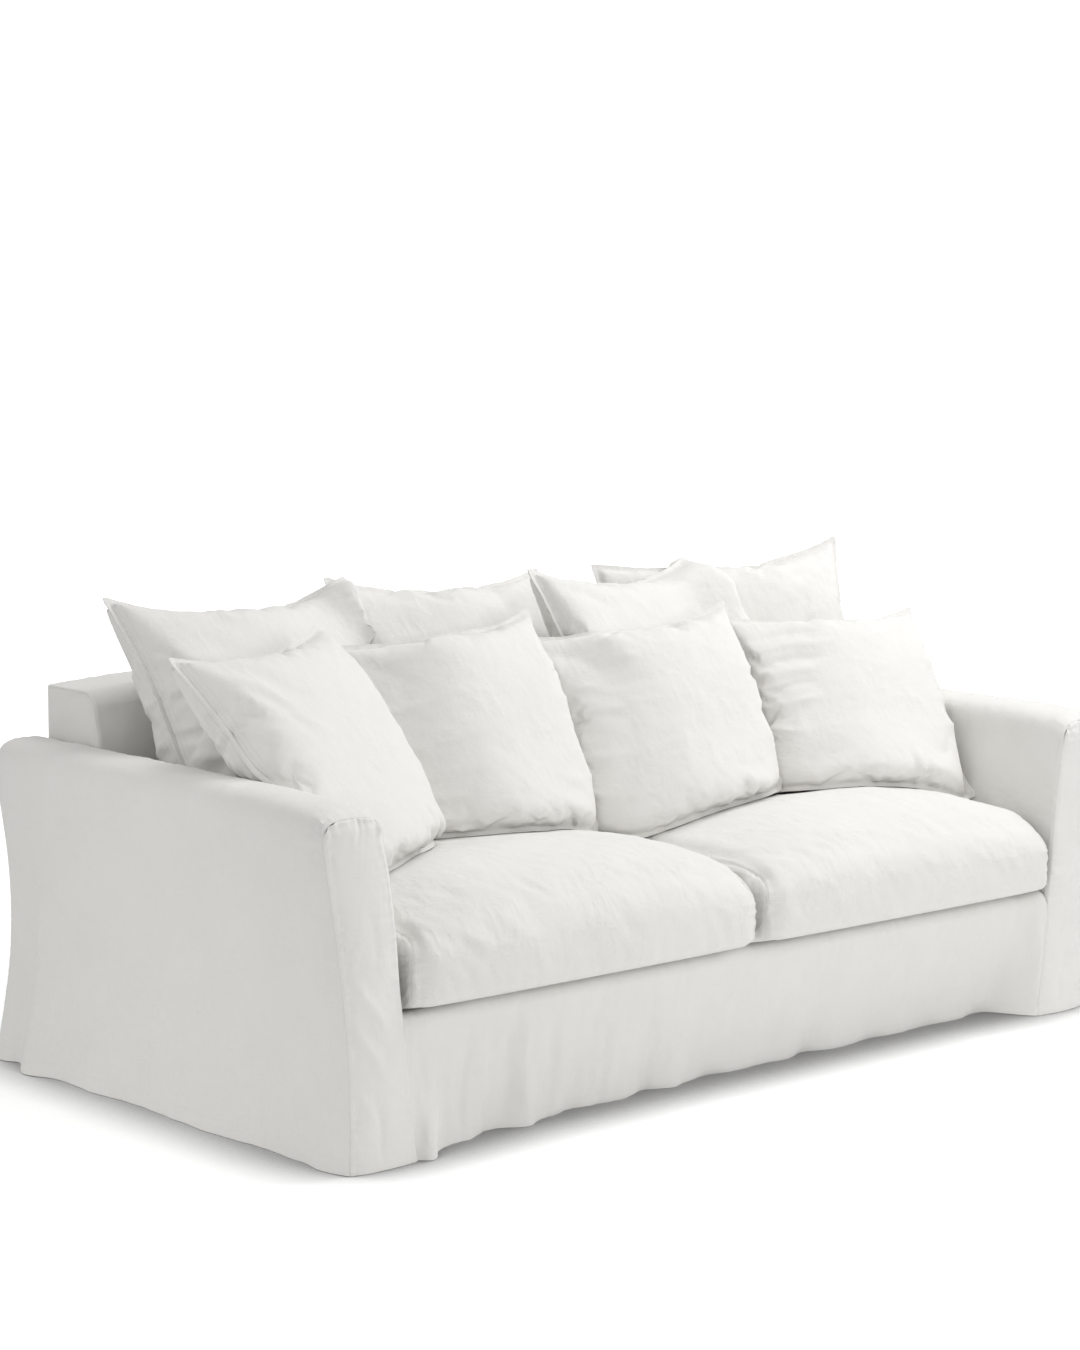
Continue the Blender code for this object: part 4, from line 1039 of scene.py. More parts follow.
def arm_top_at(half, depth):
    """Height of an arm's rolled top over a place across it."""
    part = np.minimum(np.abs(half - ARM_MIDDLE) / ARM_REACH, 1.0)
    return ARM_SHOULDER + arm_roll(depth) * (1.0 - part ** ROLL_POWER) ** (1.0 / ROLL_POWER)


def arm_top_inside(height):
    """How far out an arm's rolled top is on its inner side at a height above the shoulder."""
    part = np.clip((height - ARM_SHOULDER) / (ARM_ROLL + ARM_CROWN), 0.0, 1.0)
    return ARM_MIDDLE - ARM_REACH * (1.0 - part ** ROLL_POWER) ** (1.0 / ROLL_POWER) - 0.0010


def inside_back_grid(across, rises):
    """The inside back: up the slope, over the edge and across the top; rises run from 0 to 3."""
    a, up = np.meshgrid(across, rises, indexing="ij")
    slope_top = BACK_SLOPE[-1]
    foot = DECK + 0.0009
    height = foot + (slope_top.height - foot) * np.clip(up, 0.0, 1.0)
    between = read(ARM_SIDES, "inside", height) - 0.0015
    half = np.where(height > ARM_SHOULDER, np.minimum(arm_top_inside(height), BACK_HALF), between)
    x = a * half
    lift = (back_top(x) - BACK_TOP) * smooth((height - 0.55) / 0.13)
    angle = 0.5 * math.pi * np.clip(up - 1.0, 0.0, 1.0)
    edge = slope_top.depth + BACK_CORNER
    y = np.where(up <= 1.0, read(BACK_SLOPE, "depth", height),
                 slope_top.depth + BACK_CORNER * (1.0 - np.cos(angle)))
    y = np.where(up > 2.0, edge + (DEPTH - edge) * (up - 2.0), y)
    z = height + lift + (BACK_TOP - slope_top.height) * np.sin(angle)
    return np.stack([x, y, z], axis=-1)


def make_inside_back():
    """The inside back with its soft top edge, sewn to the boxed ends and the outside back."""
    linen = bpy.context.scene.sofa_linen
    across = graded(2 * BACK_HALF, 0.0105) / BACK_HALF - 1.0
    rises = np.concatenate([np.linspace(0.0, 1.0, 42), np.linspace(1.0, 2.0, 12)[1:],
                            2.0 + graded(0.126, 0.0085, near_start=False)[1:] / 0.126])
    points = inside_back_grid(across, rises)
    run = girth(points, 1)
    x = points[..., 0]
    behind_cushions = 0.36
    shown = smooth((run - behind_cushions) / 0.02)
    to_end = BACK_HALF - np.abs(x)
    to_rear = DEPTH - points[..., 1]
    to_seam = np.where(run > behind_cushions, np.minimum(to_end, to_rear), 1.0)
    edge = smooth(to_seam / 0.012)
    relief = edge * shown * (0.0016 * lumps(x / 0.07, run / 0.10, 8.0)
                             + linen.crumple * crumple(x, run, 13.0))
    relief += 0.0012 * shown * puckers(run, to_end, 15.0) + 0.0009 * shown * puckers(x, to_rear, 16.0)
    relief += shown * seam_relief(to_seam)
    points = points + grid_normals(points) * relief[..., None]
    far = np.ones_like(x)
    piece = sheet_object("inside_back", points, pair(x, run), pair(run + x, to_seam), pair(x, far))
    place_cloth(piece, "inside_back")


def make_back_end(side, name):
    """The boxed end of the back, standing on the arm."""
    linen = bpy.context.scene.sofa_linen
    low = float(arm_top_at(BACK_HALF, 0.9)) + 0.0012
    rises = np.concatenate([np.linspace(0.0, 1.0, 14), np.linspace(1.0, 2.0, 12)[1:]])
    slope_top = BACK_SLOPE[-1]
    lift = back_top(BACK_HALF) - BACK_TOP
    up = np.clip(rises, 0.0, 1.0)
    angle = 0.5 * math.pi * np.clip(rises - 1.0, 0.0, 1.0)
    inset = 0.0022
    front_z = low + (slope_top.height - low) * up + lift
    front_z += (BACK_TOP - slope_top.height - inset) * np.sin(angle)
    front_y = np.where(rises <= 1.0, read(BACK_SLOPE, "depth", front_z),
                       slope_top.depth + BACK_CORNER * (1.0 - np.cos(angle))) + inset
    part = graded(BACK_END_DEPTH, 0.0065) / BACK_END_DEPTH
    # The rear edge laps over the outside back's edge, so that the seam shows no raw edge
    rear_y = DEPTH + 0.0004
    y = front_y[:, None] + (rear_y - front_y[:, None]) * part[None, :]
    z = np.repeat(front_z[:, None], len(part), axis=1)
    top = BACK_TOP - inset
    to_seam = np.minimum(np.minimum(y - front_y[:, None], rear_y - y), np.maximum(top - z, 0.0))
    edge = smooth(to_seam / 0.012)
    relief = edge * (0.0030 + 0.0012 * lumps(y / 0.05, z / 0.05, 21.0 + side)
                     + linen.crumple * 0.8 * crumple(y, z, 23.0 + side))
    relief += 0.0008 * puckers(y + z, to_seam, 25.0) + seam_relief(to_seam)
    x = side * (BACK_HALF + relief)
    points = np.stack([x, y, z], axis=-1)
    far = np.ones_like(y)
    piece = sheet_object(name, points, pair(y, z), pair(y + z, to_seam), pair(y, far))
    face_outwards(piece)
    place_cloth(piece, name)


def make_outside_back():
    """The outside back, from hem to top and from arm to arm."""
    linen = bpy.context.scene.sofa_linen
    inset = 0.0024
    shoulder = ARM_SIDES[-1].outside
    edge = inside_outline(np.linspace(1.0, 1.667, 24), DEPTH, inset)
    edge = edge[edge[:, 0] > BACK_HALF + 0.004]
    step = float(arm_top_at(BACK_HALF, DEPTH)) - 0.004
    # Above the arms the panel ends just inside the boxed ends, which cover its edges
    end_x = BACK_HALF - 0.0030
    middle_x = end_x - graded(2 * end_x, 0.0100)
    xs = np.concatenate([edge[:, 0], [end_x + 0.0008], middle_x, [-end_x - 0.0008], -edge[::-1, 0]])
    tops = np.concatenate([edge[:, 1], [step], back_top(middle_x) - inset, [step], edge[::-1, 1]])
    tallest = 0.733
    rows = graded(tallest, 0.0105, near_start=False) / tallest
    part, top = np.meshgrid(rows, tops, indexing="ij")
    across = np.repeat(xs[None, :], len(rows), axis=0)
    height = part * top
    level = np.minimum(part, 1.0) * ARM_SHOULDER
    outline = arm_outline(level / ARM_SHOULDER, DEPTH, 0.0)[0] - 0.0004
    share = np.maximum(np.abs(across) - BACK_HALF, 0.0) / (shoulder - BACK_HALF)
    x = np.sign(across) * (np.abs(across) + (outline - shoulder) * share)
    y = rear_plane(x, height)
    half = arm_outline(np.minimum(height / ARM_SHOULDER, 1.0), DEPTH, 0.0)[0]
    to_side = np.where(height < 0.60, half - np.abs(x), 1.0)
    to_top = np.maximum(top - height, 0.0)
    to_seam = np.minimum(to_side, to_top)
    fade = smooth(to_seam / 0.015)
    relief = fade * creases(REAR_CREASES, x, height)
    low = np.clip(1.0 - height / 0.5, 0.0, 1.0)
    relief += fade * 0.0032 * low * lumps(x / 0.06, height / 0.5, 33.0)
    relief += fade * linen.crumple * 0.8 * crumple(x, height, 35.0, 1.8)
    relief += 0.0009 * puckers(x, to_top, 37.0) + 0.0009 * puckers(height, to_side, 39.0)
    relief += seam_relief(to_seam) + hem_relief(height)[0]
    points = np.stack([x, y + relief, height], axis=-1)
    piece = sheet_object("outside_back", points, pair(x, height), pair(x + height, to_seam),
                         pair(x, height))
    face_outwards(piece)
    place_cloth(piece, "outside_back")


# ---- seat cushions -------------------------------------------------------------------------------

def seat_top(x, y):
    """Height of the seat cushions' top."""
    part = np.minimum(np.abs(np.abs(x) - SEAT_MIDDLE) / SEAT_HALF, 1.0)
    crown = read(SEAT_TOP, "height", y)
    return SEAT_EDGE + (crown - SEAT_EDGE) * (1.0 - part ** 3.0)


def seat_points(side, a, b, c):
    """Points of a seat cushion: a across -1 to 1, b back 0 to 1, c up 0 to 1."""
    end = smooth((np.abs(a) - 0.88) / 0.12)
    front = 1.0 - smooth(b / 0.10)
    rear = smooth((b - 0.92) / 0.08)
    upper = np.maximum((c - 0.72) / 0.28, 0.0)
    lower = np.maximum(1.0 - c / 0.12, 0.0)
    pull = SEAT_ROUND * (1.0 - np.sqrt(np.maximum(1.0 - upper ** 2, 0.0))) + 0.012 * lower ** 2
    bulge = np.sin(math.pi * (0.12 + 0.76 * c))
    x = SEAT_MIDDLE * side + a * (SEAT_HALF - 0.4 * pull * end - SEAT_CORNER * front * end)
    belly = SEAT_BELLY * (1.0 - a ** 4) * bulge * (1.0 - smooth(b / 0.25))
    y = SEAT_FRONT + b * SEAT_LENGTH - belly
    y += (0.9 * pull + SEAT_CORNER * end) * front - (0.3 * pull + SEAT_CORNER * end) * rear
    top = seat_top(x, np.maximum(y, SEAT_TOP[0].depth)) - 0.028 * front - 0.012 * end * (1.0 - front)
    foot = DECK + 0.0005 + SEAT_CURL * (1.0 - smooth(b / 0.07))
    return np.stack([x, y, foot + (top - foot) * c], axis=-1)


def round_front(side, a, b, c, points):
    """Lay the front edge of the top in one soft roll, from low on the front to well back on the top."""
    low, far, last = 0.647, 0.1517, math.radians(84.0)
    steps = 80
    line_b = np.concatenate([np.zeros(steps), np.linspace(0.0, far, steps)])
    line_c = np.concatenate([np.linspace(low, 1.0, steps), np.ones(steps)])
    line = seat_points(side, np.zeros(2 * steps), line_b, line_c)
    arc = np.concatenate([[0.0], np.cumsum(np.linalg.norm(np.diff(line, axis=0), axis=1))])
    along = np.where(b > 0.0, np.interp(b, line_b[steps:], arc[steps:]),
                     np.interp(c, line_c[:steps], arc[:steps]))
    angle = along / arc[-1] * last
    start = seat_points(side, a, np.zeros_like(a), np.full_like(a, low))
    end = seat_points(side, a, np.full_like(a, far), np.ones_like(a))
    y = start[:, 1] + (end[:, 1] - start[:, 1]) * (1.0 - np.cos(angle)) / (1.0 - math.cos(last))
    z = start[:, 2] + (end[:, 2] - start[:, 2]) * np.sin(angle) / math.sin(last)
    rolled = ((b <= 0.0) & (c > low)) | ((c >= 1.0) & (b < far))
    for axis, value in ((1, y), (2, z)):
        points[:, axis] = np.where(rolled, 0.85 * value + 0.15 * points[:, axis], points[:, axis])
    return points


def box_faces(across, depths, ups):
    """The faces of a grid box: its surface points as places in three lists, and quads over them."""
    corners, sides = [], []

    def skin(first, second, fixed_at, order, flip):
        i, j = np.meshgrid(np.arange(first), np.arange(second), indexing="ij")
        grid = order(i, j, np.full_like(i, fixed_at))
        quad = [(slice(None, -1), slice(None, -1)), (slice(1, None), slice(None, -1)),
                (slice(1, None), slice(1, None)), (slice(None, -1), slice(1, None))]
        if flip:
            quad = quad[::-1]
        ring = np.stack([np.stack([g[q] for g in grid], axis=-1) for q in quad], axis=-2)
        corners.append(ring.reshape(-1, 4, 3))
        sides.append(np.full(len(corners[-1]), len(sides)))

    nx, ny, nz = len(across), len(depths), len(ups)
    skin(nx, ny, nz - 1, lambda i, j, k: (i, j, k), False)
    skin(nx, ny, 0, lambda i, j, k: (i, j, k), True)
    skin(nx, nz, 0, lambda i, j, k: (i, k, j), False)
    skin(nx, nz, ny - 1, lambda i, j, k: (i, k, j), True)
    skin(ny, nz, 0, lambda i, j, k: (k, i, j), True)
    skin(ny, nz, nx - 1, lambda i, j, k: (k, i, j), False)
    corners, sides = np.concatenate(corners), np.concatenate(sides)
    places, index = np.unique(corners.reshape(-1, 3), axis=0, return_inverse=True)
    return places, index.reshape(-1, 4), sides


def make_seat_cushion(side, name):
    """A boxed cushion whose top rolls over its front, with stitched strips at its ends."""
    linen = bpy.context.scene.sofa_linen
    across = graded(2 * SEAT_HALF, 0.0078) / SEAT_HALF - 1.0
    depths = np.concatenate([np.linspace(0.0, 0.03, 4), 0.03 + graded(0.79, 0.0085)[1:] / 0.79 * 0.97])
    ups = np.concatenate([[0.0, 0.02, 0.05], np.linspace(0.08, 0.72, 13), 1.0 - 0.28 * (1.0 - np.sin(
        np.linspace(0.0, 0.5 * math.pi, 11)[1:]))])
    places, faces, sides = box_faces(across, depths, ups)
    a, b, c = across[places[:, 0]], depths[places[:, 1]], ups[places[:, 2]]
    points = round_front(side, a, b, c, seat_points(side, a, b, c))
    probe = bpy.data.meshes.new("probe")
    probe.from_pydata(points.tolist(), [], faces.tolist())
    normals = np.zeros(len(points) * 3)
    probe.vertices.foreach_get("normal", normals)
    normals = normals.reshape(-1, 3)
    bpy.data.meshes.remove(probe)
    seed = 81.0 if side < 0 else 91.0
    x, y, z = points.T
    to_end = (1.0 - np.abs(a)) * SEAT_HALF
    at_end = to_end < 1e-6
    drop, behind = (1.0 - c) * SEAT_WALL, b * SEAT_LENGTH
    beside = np.where(at_end, np.minimum(np.minimum(drop, behind), (1.0 - b) * SEAT_LENGTH), to_end)
    run = behind + np.where(b < 0.5, -drop, drop)
    wide = x - side * 0.41
    over = y + z
    front = np.exp(-behind / 0.30)
    relief = 0.0034 * lumps(wide / 0.17, over / 0.15, seed)
    relief += 0.0016 * lumps(wide / 0.07, over / 0.065, seed + 1.0)
    relief += linen.crumple * (0.8 + 0.9 * front) * crumple(wide, over, seed + 2.0, 1.0)
    slant = lumps((wide + 0.6 * over) / 0.026, (over - 0.6 * wide) / 0.11, seed + 4.0)
    relief += 0.0034 * front * slant * smooth(0.5 + lumps(wide / 0.13, over / 0.13, seed + 5.0))
    relief *= smooth(beside / 0.010) * smooth(c / 0.08)
    relief += 0.0015 * puckers(run, beside, seed, 0.040, 0.026) * smooth(c / 0.1)
    relief += 1.3 * seam_relief(beside) * smooth(c / 0.1)
    relief += 0.0009 * puckers(wide, c * SEAT_WALL, seed + 6.0, 0.03, 0.031) * (b < 1e-6)
    points = points + normals * (relief * (c > 0.01))[:, None]
    # The top and bottom, the front, the rear and the ends each have their own run of the cloth
    skin = sides[:, None]
    back, down, wide = behind[faces], ((c - 1.0) * 0.17)[faces], x[faces]
    cloth = pair(np.where(skin >= 4, back, wide),
                 np.select([skin <= 1, skin == 3], [back, SEAT_LENGTH - down], default=down))
    maps = {"Cloth": cloth, "Seam": pair(run, beside)[faces], "Hem": pair(x, np.ones_like(x))[faces]}
    piece = new_object(name, points, faces, maps, linen_for("seat"))
    sharpen(piece, 75.0)
    place_piece(piece, name)


# ---- scatter cushions ----------------------------------------------------------------------------

def stance(row):
    """The cushion's own axes in the room: X along its width, Y to its rear, Z up its height."""
    turn = Matrix.Rotation(math.radians(row.turn), 4, "Z")
    lean = Matrix.Rotation(-math.radians(row.lean), 4, "X")
    roll = Matrix.Rotation(math.radians(row.roll), 4, "Y")
    return Matrix.Translation((row.x, row.y, row.z)) @ turn @ lean @ roll


def blow_up_case(seed, cells, pressure, steps):
    """Sew two square sheets round their edges and let the cloth simulation fill them. Gives the front
    and rear as grids of points."""
    place = np.linspace(-CASE_HALF, CASE_HALF, cells + 1)
    x, z = np.meshgrid(place, place, indexing="ij")
    part = (1.0 - (x / CASE_HALF) ** 2) * (1.0 - (z / CASE_HALF) ** 2)
    lift = 0.004 * part ** 0.5 * (1.0 + 0.8 * lumps(x / 0.05, z / 0.05, seed))
    index = np.arange((cells + 1) ** 2).reshape(cells + 1, cells + 1)
    inner = np.zeros_like(index, dtype=bool)
    inner[1:-1, 1:-1] = True
    rear_index = index.copy()
    rear_index[inner] = index.size + np.arange(inner.sum())
    front = np.stack([x, -lift, z], axis=-1)
    rear = np.stack([x, lift * (1.0 + 0.3 * lumps(x / 0.04, z / 0.04, seed + 3.0)), z], axis=-1)
    points = np.concatenate([front.reshape(-1, 3), rear[inner]])
    faces = np.concatenate([grid_quads(index), grid_quads(rear_index)[:, ::-1]])
    mesh = bpy.data.meshes.new("case")
    mesh.from_pydata(points.tolist(), [], faces.tolist())
    case = bpy.data.objects.new("case", mesh)
    bpy.context.scene.collection.objects.link(case)
    cloth = case.modifiers.new("Cloth", "CLOTH")
    setting = cloth.settings
    setting.quality = 5
    setting.mass = 0.2
    setting.tension_stiffness = setting.compression_stiffness = 18.0
    setting.shear_stiffness = 10.0
    setting.bending_stiffness = 0.8
    setting.use_pressure = True
    setting.uniform_pressure_force = pressure
    setting.effector_weights.gravity = 0.0
    cloth.collision_settings.use_collision = False
    scene = bpy.context.scene
    first, last = scene.frame_start, scene.frame_end
    scene.frame_start, scene.frame_end = 1, steps
    cloth.point_cache.frame_start, cloth.point_cache.frame_end = 1, steps
    for step in range(1, steps + 1):
        scene.frame_set(step)
    shaped = case.evaluated_get(bpy.context.evaluated_depsgraph_get()).data
    moved = np.zeros(len(points) * 3)
    shaped.vertices.foreach_get("co", moved)
    moved = moved.reshape(-1, 3)
    scene.frame_set(1)
    scene.frame_start, scene.frame_end = first, last
    bpy.data.objects.remove(case)
    bpy.data.meshes.remove(mesh)
    return moved[index], moved[rear_index]


def shaped_case(case, flipped, row, flange):
    """The front and rear of a case scaled to a cushion's size, less the flat stitched edge."""
    setting = bpy.context.scene.sofa_cushions
    front, rear = (grid.copy() for grid in case)
    if flipped:
        front, rear = (grid[::-1] * np.array([-1.0, 1.0, 1.0]) for grid in (front, rear))
    corners = [front[0, 0], front[0, -1], front[-1, 0], front[-1, -1]]
    half_x = 0.5 * row.width - flange
    half_z = 0.5 * row.height - flange
    scale_x = half_x / np.mean([abs(p[0]) for p in corners])
    scale_z = half_z / np.mean([abs(p[2]) for p in corners])
    thick = np.maximum(rear[..., 1] - front[..., 1], 0.0)
    thick = thick / thick.max()
    leaning = 0.3 * (front[..., 1] + rear[..., 1])
    place = np.linspace(-1.0, 1.0, front.shape[0])
    hump = 1.0 - place ** 2
    shaped = []
    for grid, way, power in ((front, -1.0, setting.fullness[0]), (rear, 1.0, setting.fullness[1])):
        x, z = grid[..., 0] * scale_x, grid[..., 2] * scale_z
        low, high = z[:, :1], z[:, -1:]
        new_low = -half_z + 0.10 * (low + half_z) - 0.022 * half_z * hump[:, None]
        new_high = half_z - setting.dip_top * (half_z - high)
        z = new_low + (z - low) * (new_high - new_low) / (high - low)
        left, right = x[:1], x[-1:]
        new_left = -half_x + setting.dip_side * (left + half_x)
        new_right = half_x - setting.dip_side * (half_x - right)
        x = new_left + (x - left) * (new_right - new_left) / (right - left)
        level = z / half_z
        sunk = 1.0 - 0.16 * level - 0.08 * (1.0 - level ** 2)
        flatter = 0.5 * smooth((-0.3 - place) / 0.7)[None, :] if way < 0.0 else 0.0
        y = leaning + way * 0.5 * row.thick * thick ** (power + flatter) * sunk
        if way < 0.0:
            tuck = TUCKED.get(row.name, NOT_TUCKED)
            lost = tuck.left * smooth((-0.05 - place) / 0.9) + tuck.right * smooth((place - 0.05) / 0.9)
            y *= (1.0 - lost)[:, None]
        shaped.append(np.stack([x, y, z + 0.5 * row.height], axis=-1))
    return shaped


def add_flange(grid, flange):
    """Widen a grid by a flat edge that follows its seam."""
    wide = grid.copy()
    out = flange / FLANGE_RINGS
    for _ in range(FLANGE_RINGS):
        wide = np.pad(wide, ((1, 1), (1, 1), (0, 0)), mode="edge")
        wide[0, :, 0] -= out
        wide[-1, :, 0] += out
        wide[:, 0, 2] -= out
        wide[:, -1, 2] += out
    return wide


def press_field(points, forward, trees, reach):
    """How far each point of a rear face must come forward to be clear of what is behind it."""
    pushes = np.zeros(points.shape[:2])
    for i in range(points.shape[0]):
        for j in range(points.shape[1]):
            point = Vector(points[i, j])
            start = point + forward * reach
            for tree in trees:
                distance = tree.ray_cast(start, -forward, reach)[3]
                if distance is not None:
                    pushes[i, j] = max(pushes[i, j], reach - distance + 0.0012)
    return pushes


def seat_heights(points, seats):
    """Height of the seat cushions under each point, or far below where there is none."""
    found = np.full(points.shape[:-1], -1.0)
    for place in np.ndindex(found.shape):
        x, y, z = points[place]
        if z < 0.56:
            for seat in seats:
                hit = seat.ray_cast(Vector((x, y, 0.60)), Vector((0.0, 0.0, -1.0)), 0.25)[0]
                if hit is not None:
                    found[place] = max(found[place], hit.z)
    return found


def spread_soft(field, rounds):
    """Spread the pressed places a little, so that the cloth gives way in one soft shape."""
    for _ in range(rounds):
        wide = np.pad(field, 1, mode="edge")
        mean = (wide[:-2, 1:-1] + wide[2:, 1:-1] + wide[1:-1, :-2] + wide[1:-1, 2:]
                + wide[:-2, :-2] + wide[2:, 2:] + wide[:-2, 2:] + wide[2:, :-2]) / 8.0
        field = np.maximum(field, mean)
    return field


def flanged_places(count):
    """For a case of count points a side with its flat edge: each point's place from -1 to 1 over the
    case, and how far out it lies on the flat edge, from 0 to 1, both across and up."""
    last = count - 1
    numbers = np.arange(count + 2 * FLANGE_RINGS) - FLANGE_RINGS
    grids = np.meshgrid(numbers, numbers, indexing="ij")
    u, v = (np.clip(grid / last * 2.0 - 1.0, -1.0, 1.0) for grid in grids)
    out_u, out_v = (np.maximum(np.maximum(-grid, grid - last), 0) / FLANGE_RINGS for grid in grids)
    return u, v, out_u, out_v


def flatten_edge(front, rear, flat, wave):
    """Close the flat edge to one thickness of cloth, waved a little, and part the case inside it."""
    edge_y = 0.5 * (front + rear)[..., 1]
    for grid, way, outer in ((front, -1.0, np.minimum), (rear, 1.0, np.maximum)):
        half = way * 0.5 * bpy.context.scene.sofa_linen.thickness
        grid[..., 1] = np.where(flat, edge_y + wave + half, outer(grid[..., 1], edge_y + half))


def bend_case(row, front, rear, u, v):
    """Lift a case's upper ears, tuck, bow and twist it, and let its lower edge slide forward."""
    ear = np.where(u < 0.0, row.ear_left, row.ear_right)
    lift = ear * np.abs(u) ** 5 * np.maximum(v, 0.0) ** 5
    bend = TUCKED.get(row.name, NOT_TUCKED).back * smooth((0.1 - u) / 1.1)
    bend += row.bow * (v ** 2 + 0.5 * u ** 2) - row.twist * u * 0.25 * (v + 1.0) * row.height
    slide = 0.5 * smooth((-0.15 - v) / 0.85) + 0.5 * smooth((-0.55 - v) / 0.45)
    bend -= bpy.context.scene.sofa_cushions.sag * slide * (1.0 - np.abs(u) ** 3)
    for grid in (front, rear):
        grid[..., 0] += np.sign(u) * 0.5 * lift
        grid[..., 1] += bend
        grid[..., 2] += lift


def lay_case(row, front, rear, v, trees, seats):
    """Lean a case in its place on the seat, pressed where it meets what is behind and under it."""
    own = stance(row)
    turn = np.array(own.to_3x3())
    front, rear = (grid @ turn.T + np.array(own.translation) for grid in (front, rear))

    # The lower edge follows the seat's crown
    upward = turn @ np.array([0.0, 0.0, 1.0])
    lowest = 0.5 * (front[:, 0] + rear[:, 0])
    gap = seat_top(lowest[:, 0], lowest[:, 1]) + 0.002 - lowest[:, 2]
    rise = np.pad(np.maximum(gap, -0.060), 6, mode="edge")
    rise = np.convolve(rise, np.ones(13) / 13.0, mode="valid") / upward[2]
    weight = smooth((0.15 - v) / 1.15) * rise[:, None]
    front, rear = front + weight[..., None] * upward, rear + weight[..., None] * upward

    # The rear gives way first, down to the least thickness, and then pushes the front
    forward = own.to_3x3() @ Vector((0.0, -1.0, 0.0))
    pushes = spread_soft(press_field(rear, forward, trees, 0.45), 6)
    thick = np.linalg.norm(rear - front, axis=2)
    least = np.maximum(thick * (1.0 - bpy.context.scene.sofa_cushions.squash),
                       bpy.context.scene.sofa_linen.thickness)
    over = pushes - (thick - least)
    follow = spread_soft(np.maximum(over, 0.0), 36)
    rear = rear + np.array(forward) * pushes[..., None]
    front = front + np.array(forward) * np.maximum(follow, over)[..., None]
    for grid in (front, rear):
        grid[..., 2] = np.maximum(grid[..., 2], seat_heights(grid, seats) + 0.0010)
    return front, rear


def make_scatter(row, case, flipped, trees, seats, seed):
    """One scatter cushion, leaning in its place and pressed where it meets the others."""
    flange = bpy.context.scene.sofa_cushions.flange
    front, rear = shaped_case(case, flipped, row, flange)
    u, v, out_u, out_v = flanged_places(front.shape[0])
    front, rear = (add_flange(grid, flange) for grid in (front, rear))
    beyond = np.maximum(out_u, out_v)
    flat = beyond > 0
    along_edge = np.where(out_u > out_v, front[..., 2], front[..., 0])
    wave = 0.0016 * beyond * lumps(along_edge / 0.028, np.zeros_like(u) + 3.0, seed)
    wave += 0.0010 * beyond * lumps(along_edge / 0.011, np.zeros_like(u) + 5.0, seed + 1.0)
    flatten_edge(front, rear, flat, wave)
    bend_case(row, front, rear, u, v)

    wide, high = front[..., 0], front[..., 2]
    from_edge = 1.0 - np.maximum(np.abs(u), np.abs(v))
    inside = smooth(from_edge / 0.06)
    to_edge = from_edge * 0.5 * min(row.width, row.height)
    run = np.where(np.abs(u) > np.abs(v), high, wide)
    crumpled = 1.6 * bpy.context.scene.sofa_linen.crumple
    relief = inside * crumpled * crumple(wide, high, seed, 1.0)
    relief += inside * creases(CASE_CREASES.get(row.name, ()), wide, high)
    relief += 0.0014 * puckers(run, to_edge + 0.003, seed, 0.030, 0.017) * ~flat
    front[..., 1] -= relief
    rear[..., 1] += relief * 0.6

    front, rear = lay_case(row, front, rear, v, trees, seats)
    distance = np.where(flat, SEAM_ROWS[0] + beyond * flange * 0.9, to_edge)
    piece = closed_object(row.name, front, rear, pair(wide, high), pair(run, distance),
                          pair(wide, np.ones_like(wide)), linen_for("scatter"))
    face_outwards(piece)
    sharpen(piece, 70.0)
    place_piece(piece, row.name)


def working_tree(node):
    """A search tree, at the working origin, of the finished piece that stands for a node."""
    piece = next(piece for piece in bpy.data.objects if piece.get("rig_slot") == node)
    data = bmesh.new()
    data.from_mesh(piece.data)
    data.transform(Matrix.Translation((0.0, -ARM_FRONT_Y, -HEM_Z)))
    tree = BVHTree.FromBMesh(data)
    data.free()
    return tree


# ---- operators -----------------------------------------------------------------------------------

class SOFA_OT_arms(bpy.types.Operator):
    """Make both arm covers and their front facings"""
    bl_idname = "sofa_cover.arms"
    bl_label = "Arms"

    def execute(self, context):
        for side, name in ((-1, "left_arm"), (1, "right_arm")):
            make_arm_cover(side, f"{name}_cover")
            make_arm_facing(side, f"{name}_facing")
        return {"FINISHED"}


class SOFA_OT_skirt(bpy.types.Operator):
    """Make the front skirt panel and the seat deck"""
    bl_idname = "sofa_cover.skirt"
    bl_label = "Skirt and deck"

    def execute(self, context):
        make_skirt()
        make_deck()
        return {"FINISHED"}


class SOFA_OT_back(bpy.types.Operator):
    """Make the inside back, its boxed ends and the outside back"""
    bl_idname = "sofa_cover.back"
    bl_label = "Back"

    def execute(self, context):
        make_inside_back()
        make_back_end(-1, "back_end_left")
        make_back_end(1, "back_end_right")
        make_outside_back()
        return {"FINISHED"}


class SOFA_OT_seats(bpy.types.Operator):
    """Make the two boxed seat cushions"""
    bl_idname = "sofa_cover.seats"
    bl_label = "Seat cushions"

    def execute(self, context):
        make_seat_cushion(-1, "seat_cushion_left")
        make_seat_cushion(1, "seat_cushion_right")
        return {"FINISHED"}


class SOFA_OT_scatter(bpy.types.Operator):
    """Blow up the cases and lay the scatter cushions, the rear ones first"""
    bl_idname = "sofa_cover.scatter"
    bl_label = "Scatter cushions"

    def execute(self, context):
        setting = context.scene.sofa_cushions
        cases = []
        for seed in range(4):
            cases.append(blow_up_case(seed + 1.0, setting.cells, setting.pressure, setting.steps))
        trees = [working_tree(name) for name in ("left_arm_cover", "right_arm_cover", "inside_back")]
        seats = [working_tree(name) for name in ("seat_cushion_left", "seat_cushion_right")]
        for number, row in enumerate(SCATTER):
            case, flipped = CASES[row.name]
            make_scatter(row, cases[case], flipped, trees, seats, 100.0 + 7.0 * number)
            trees.append(working_tree(row.name))
        return {"FINISHED"}


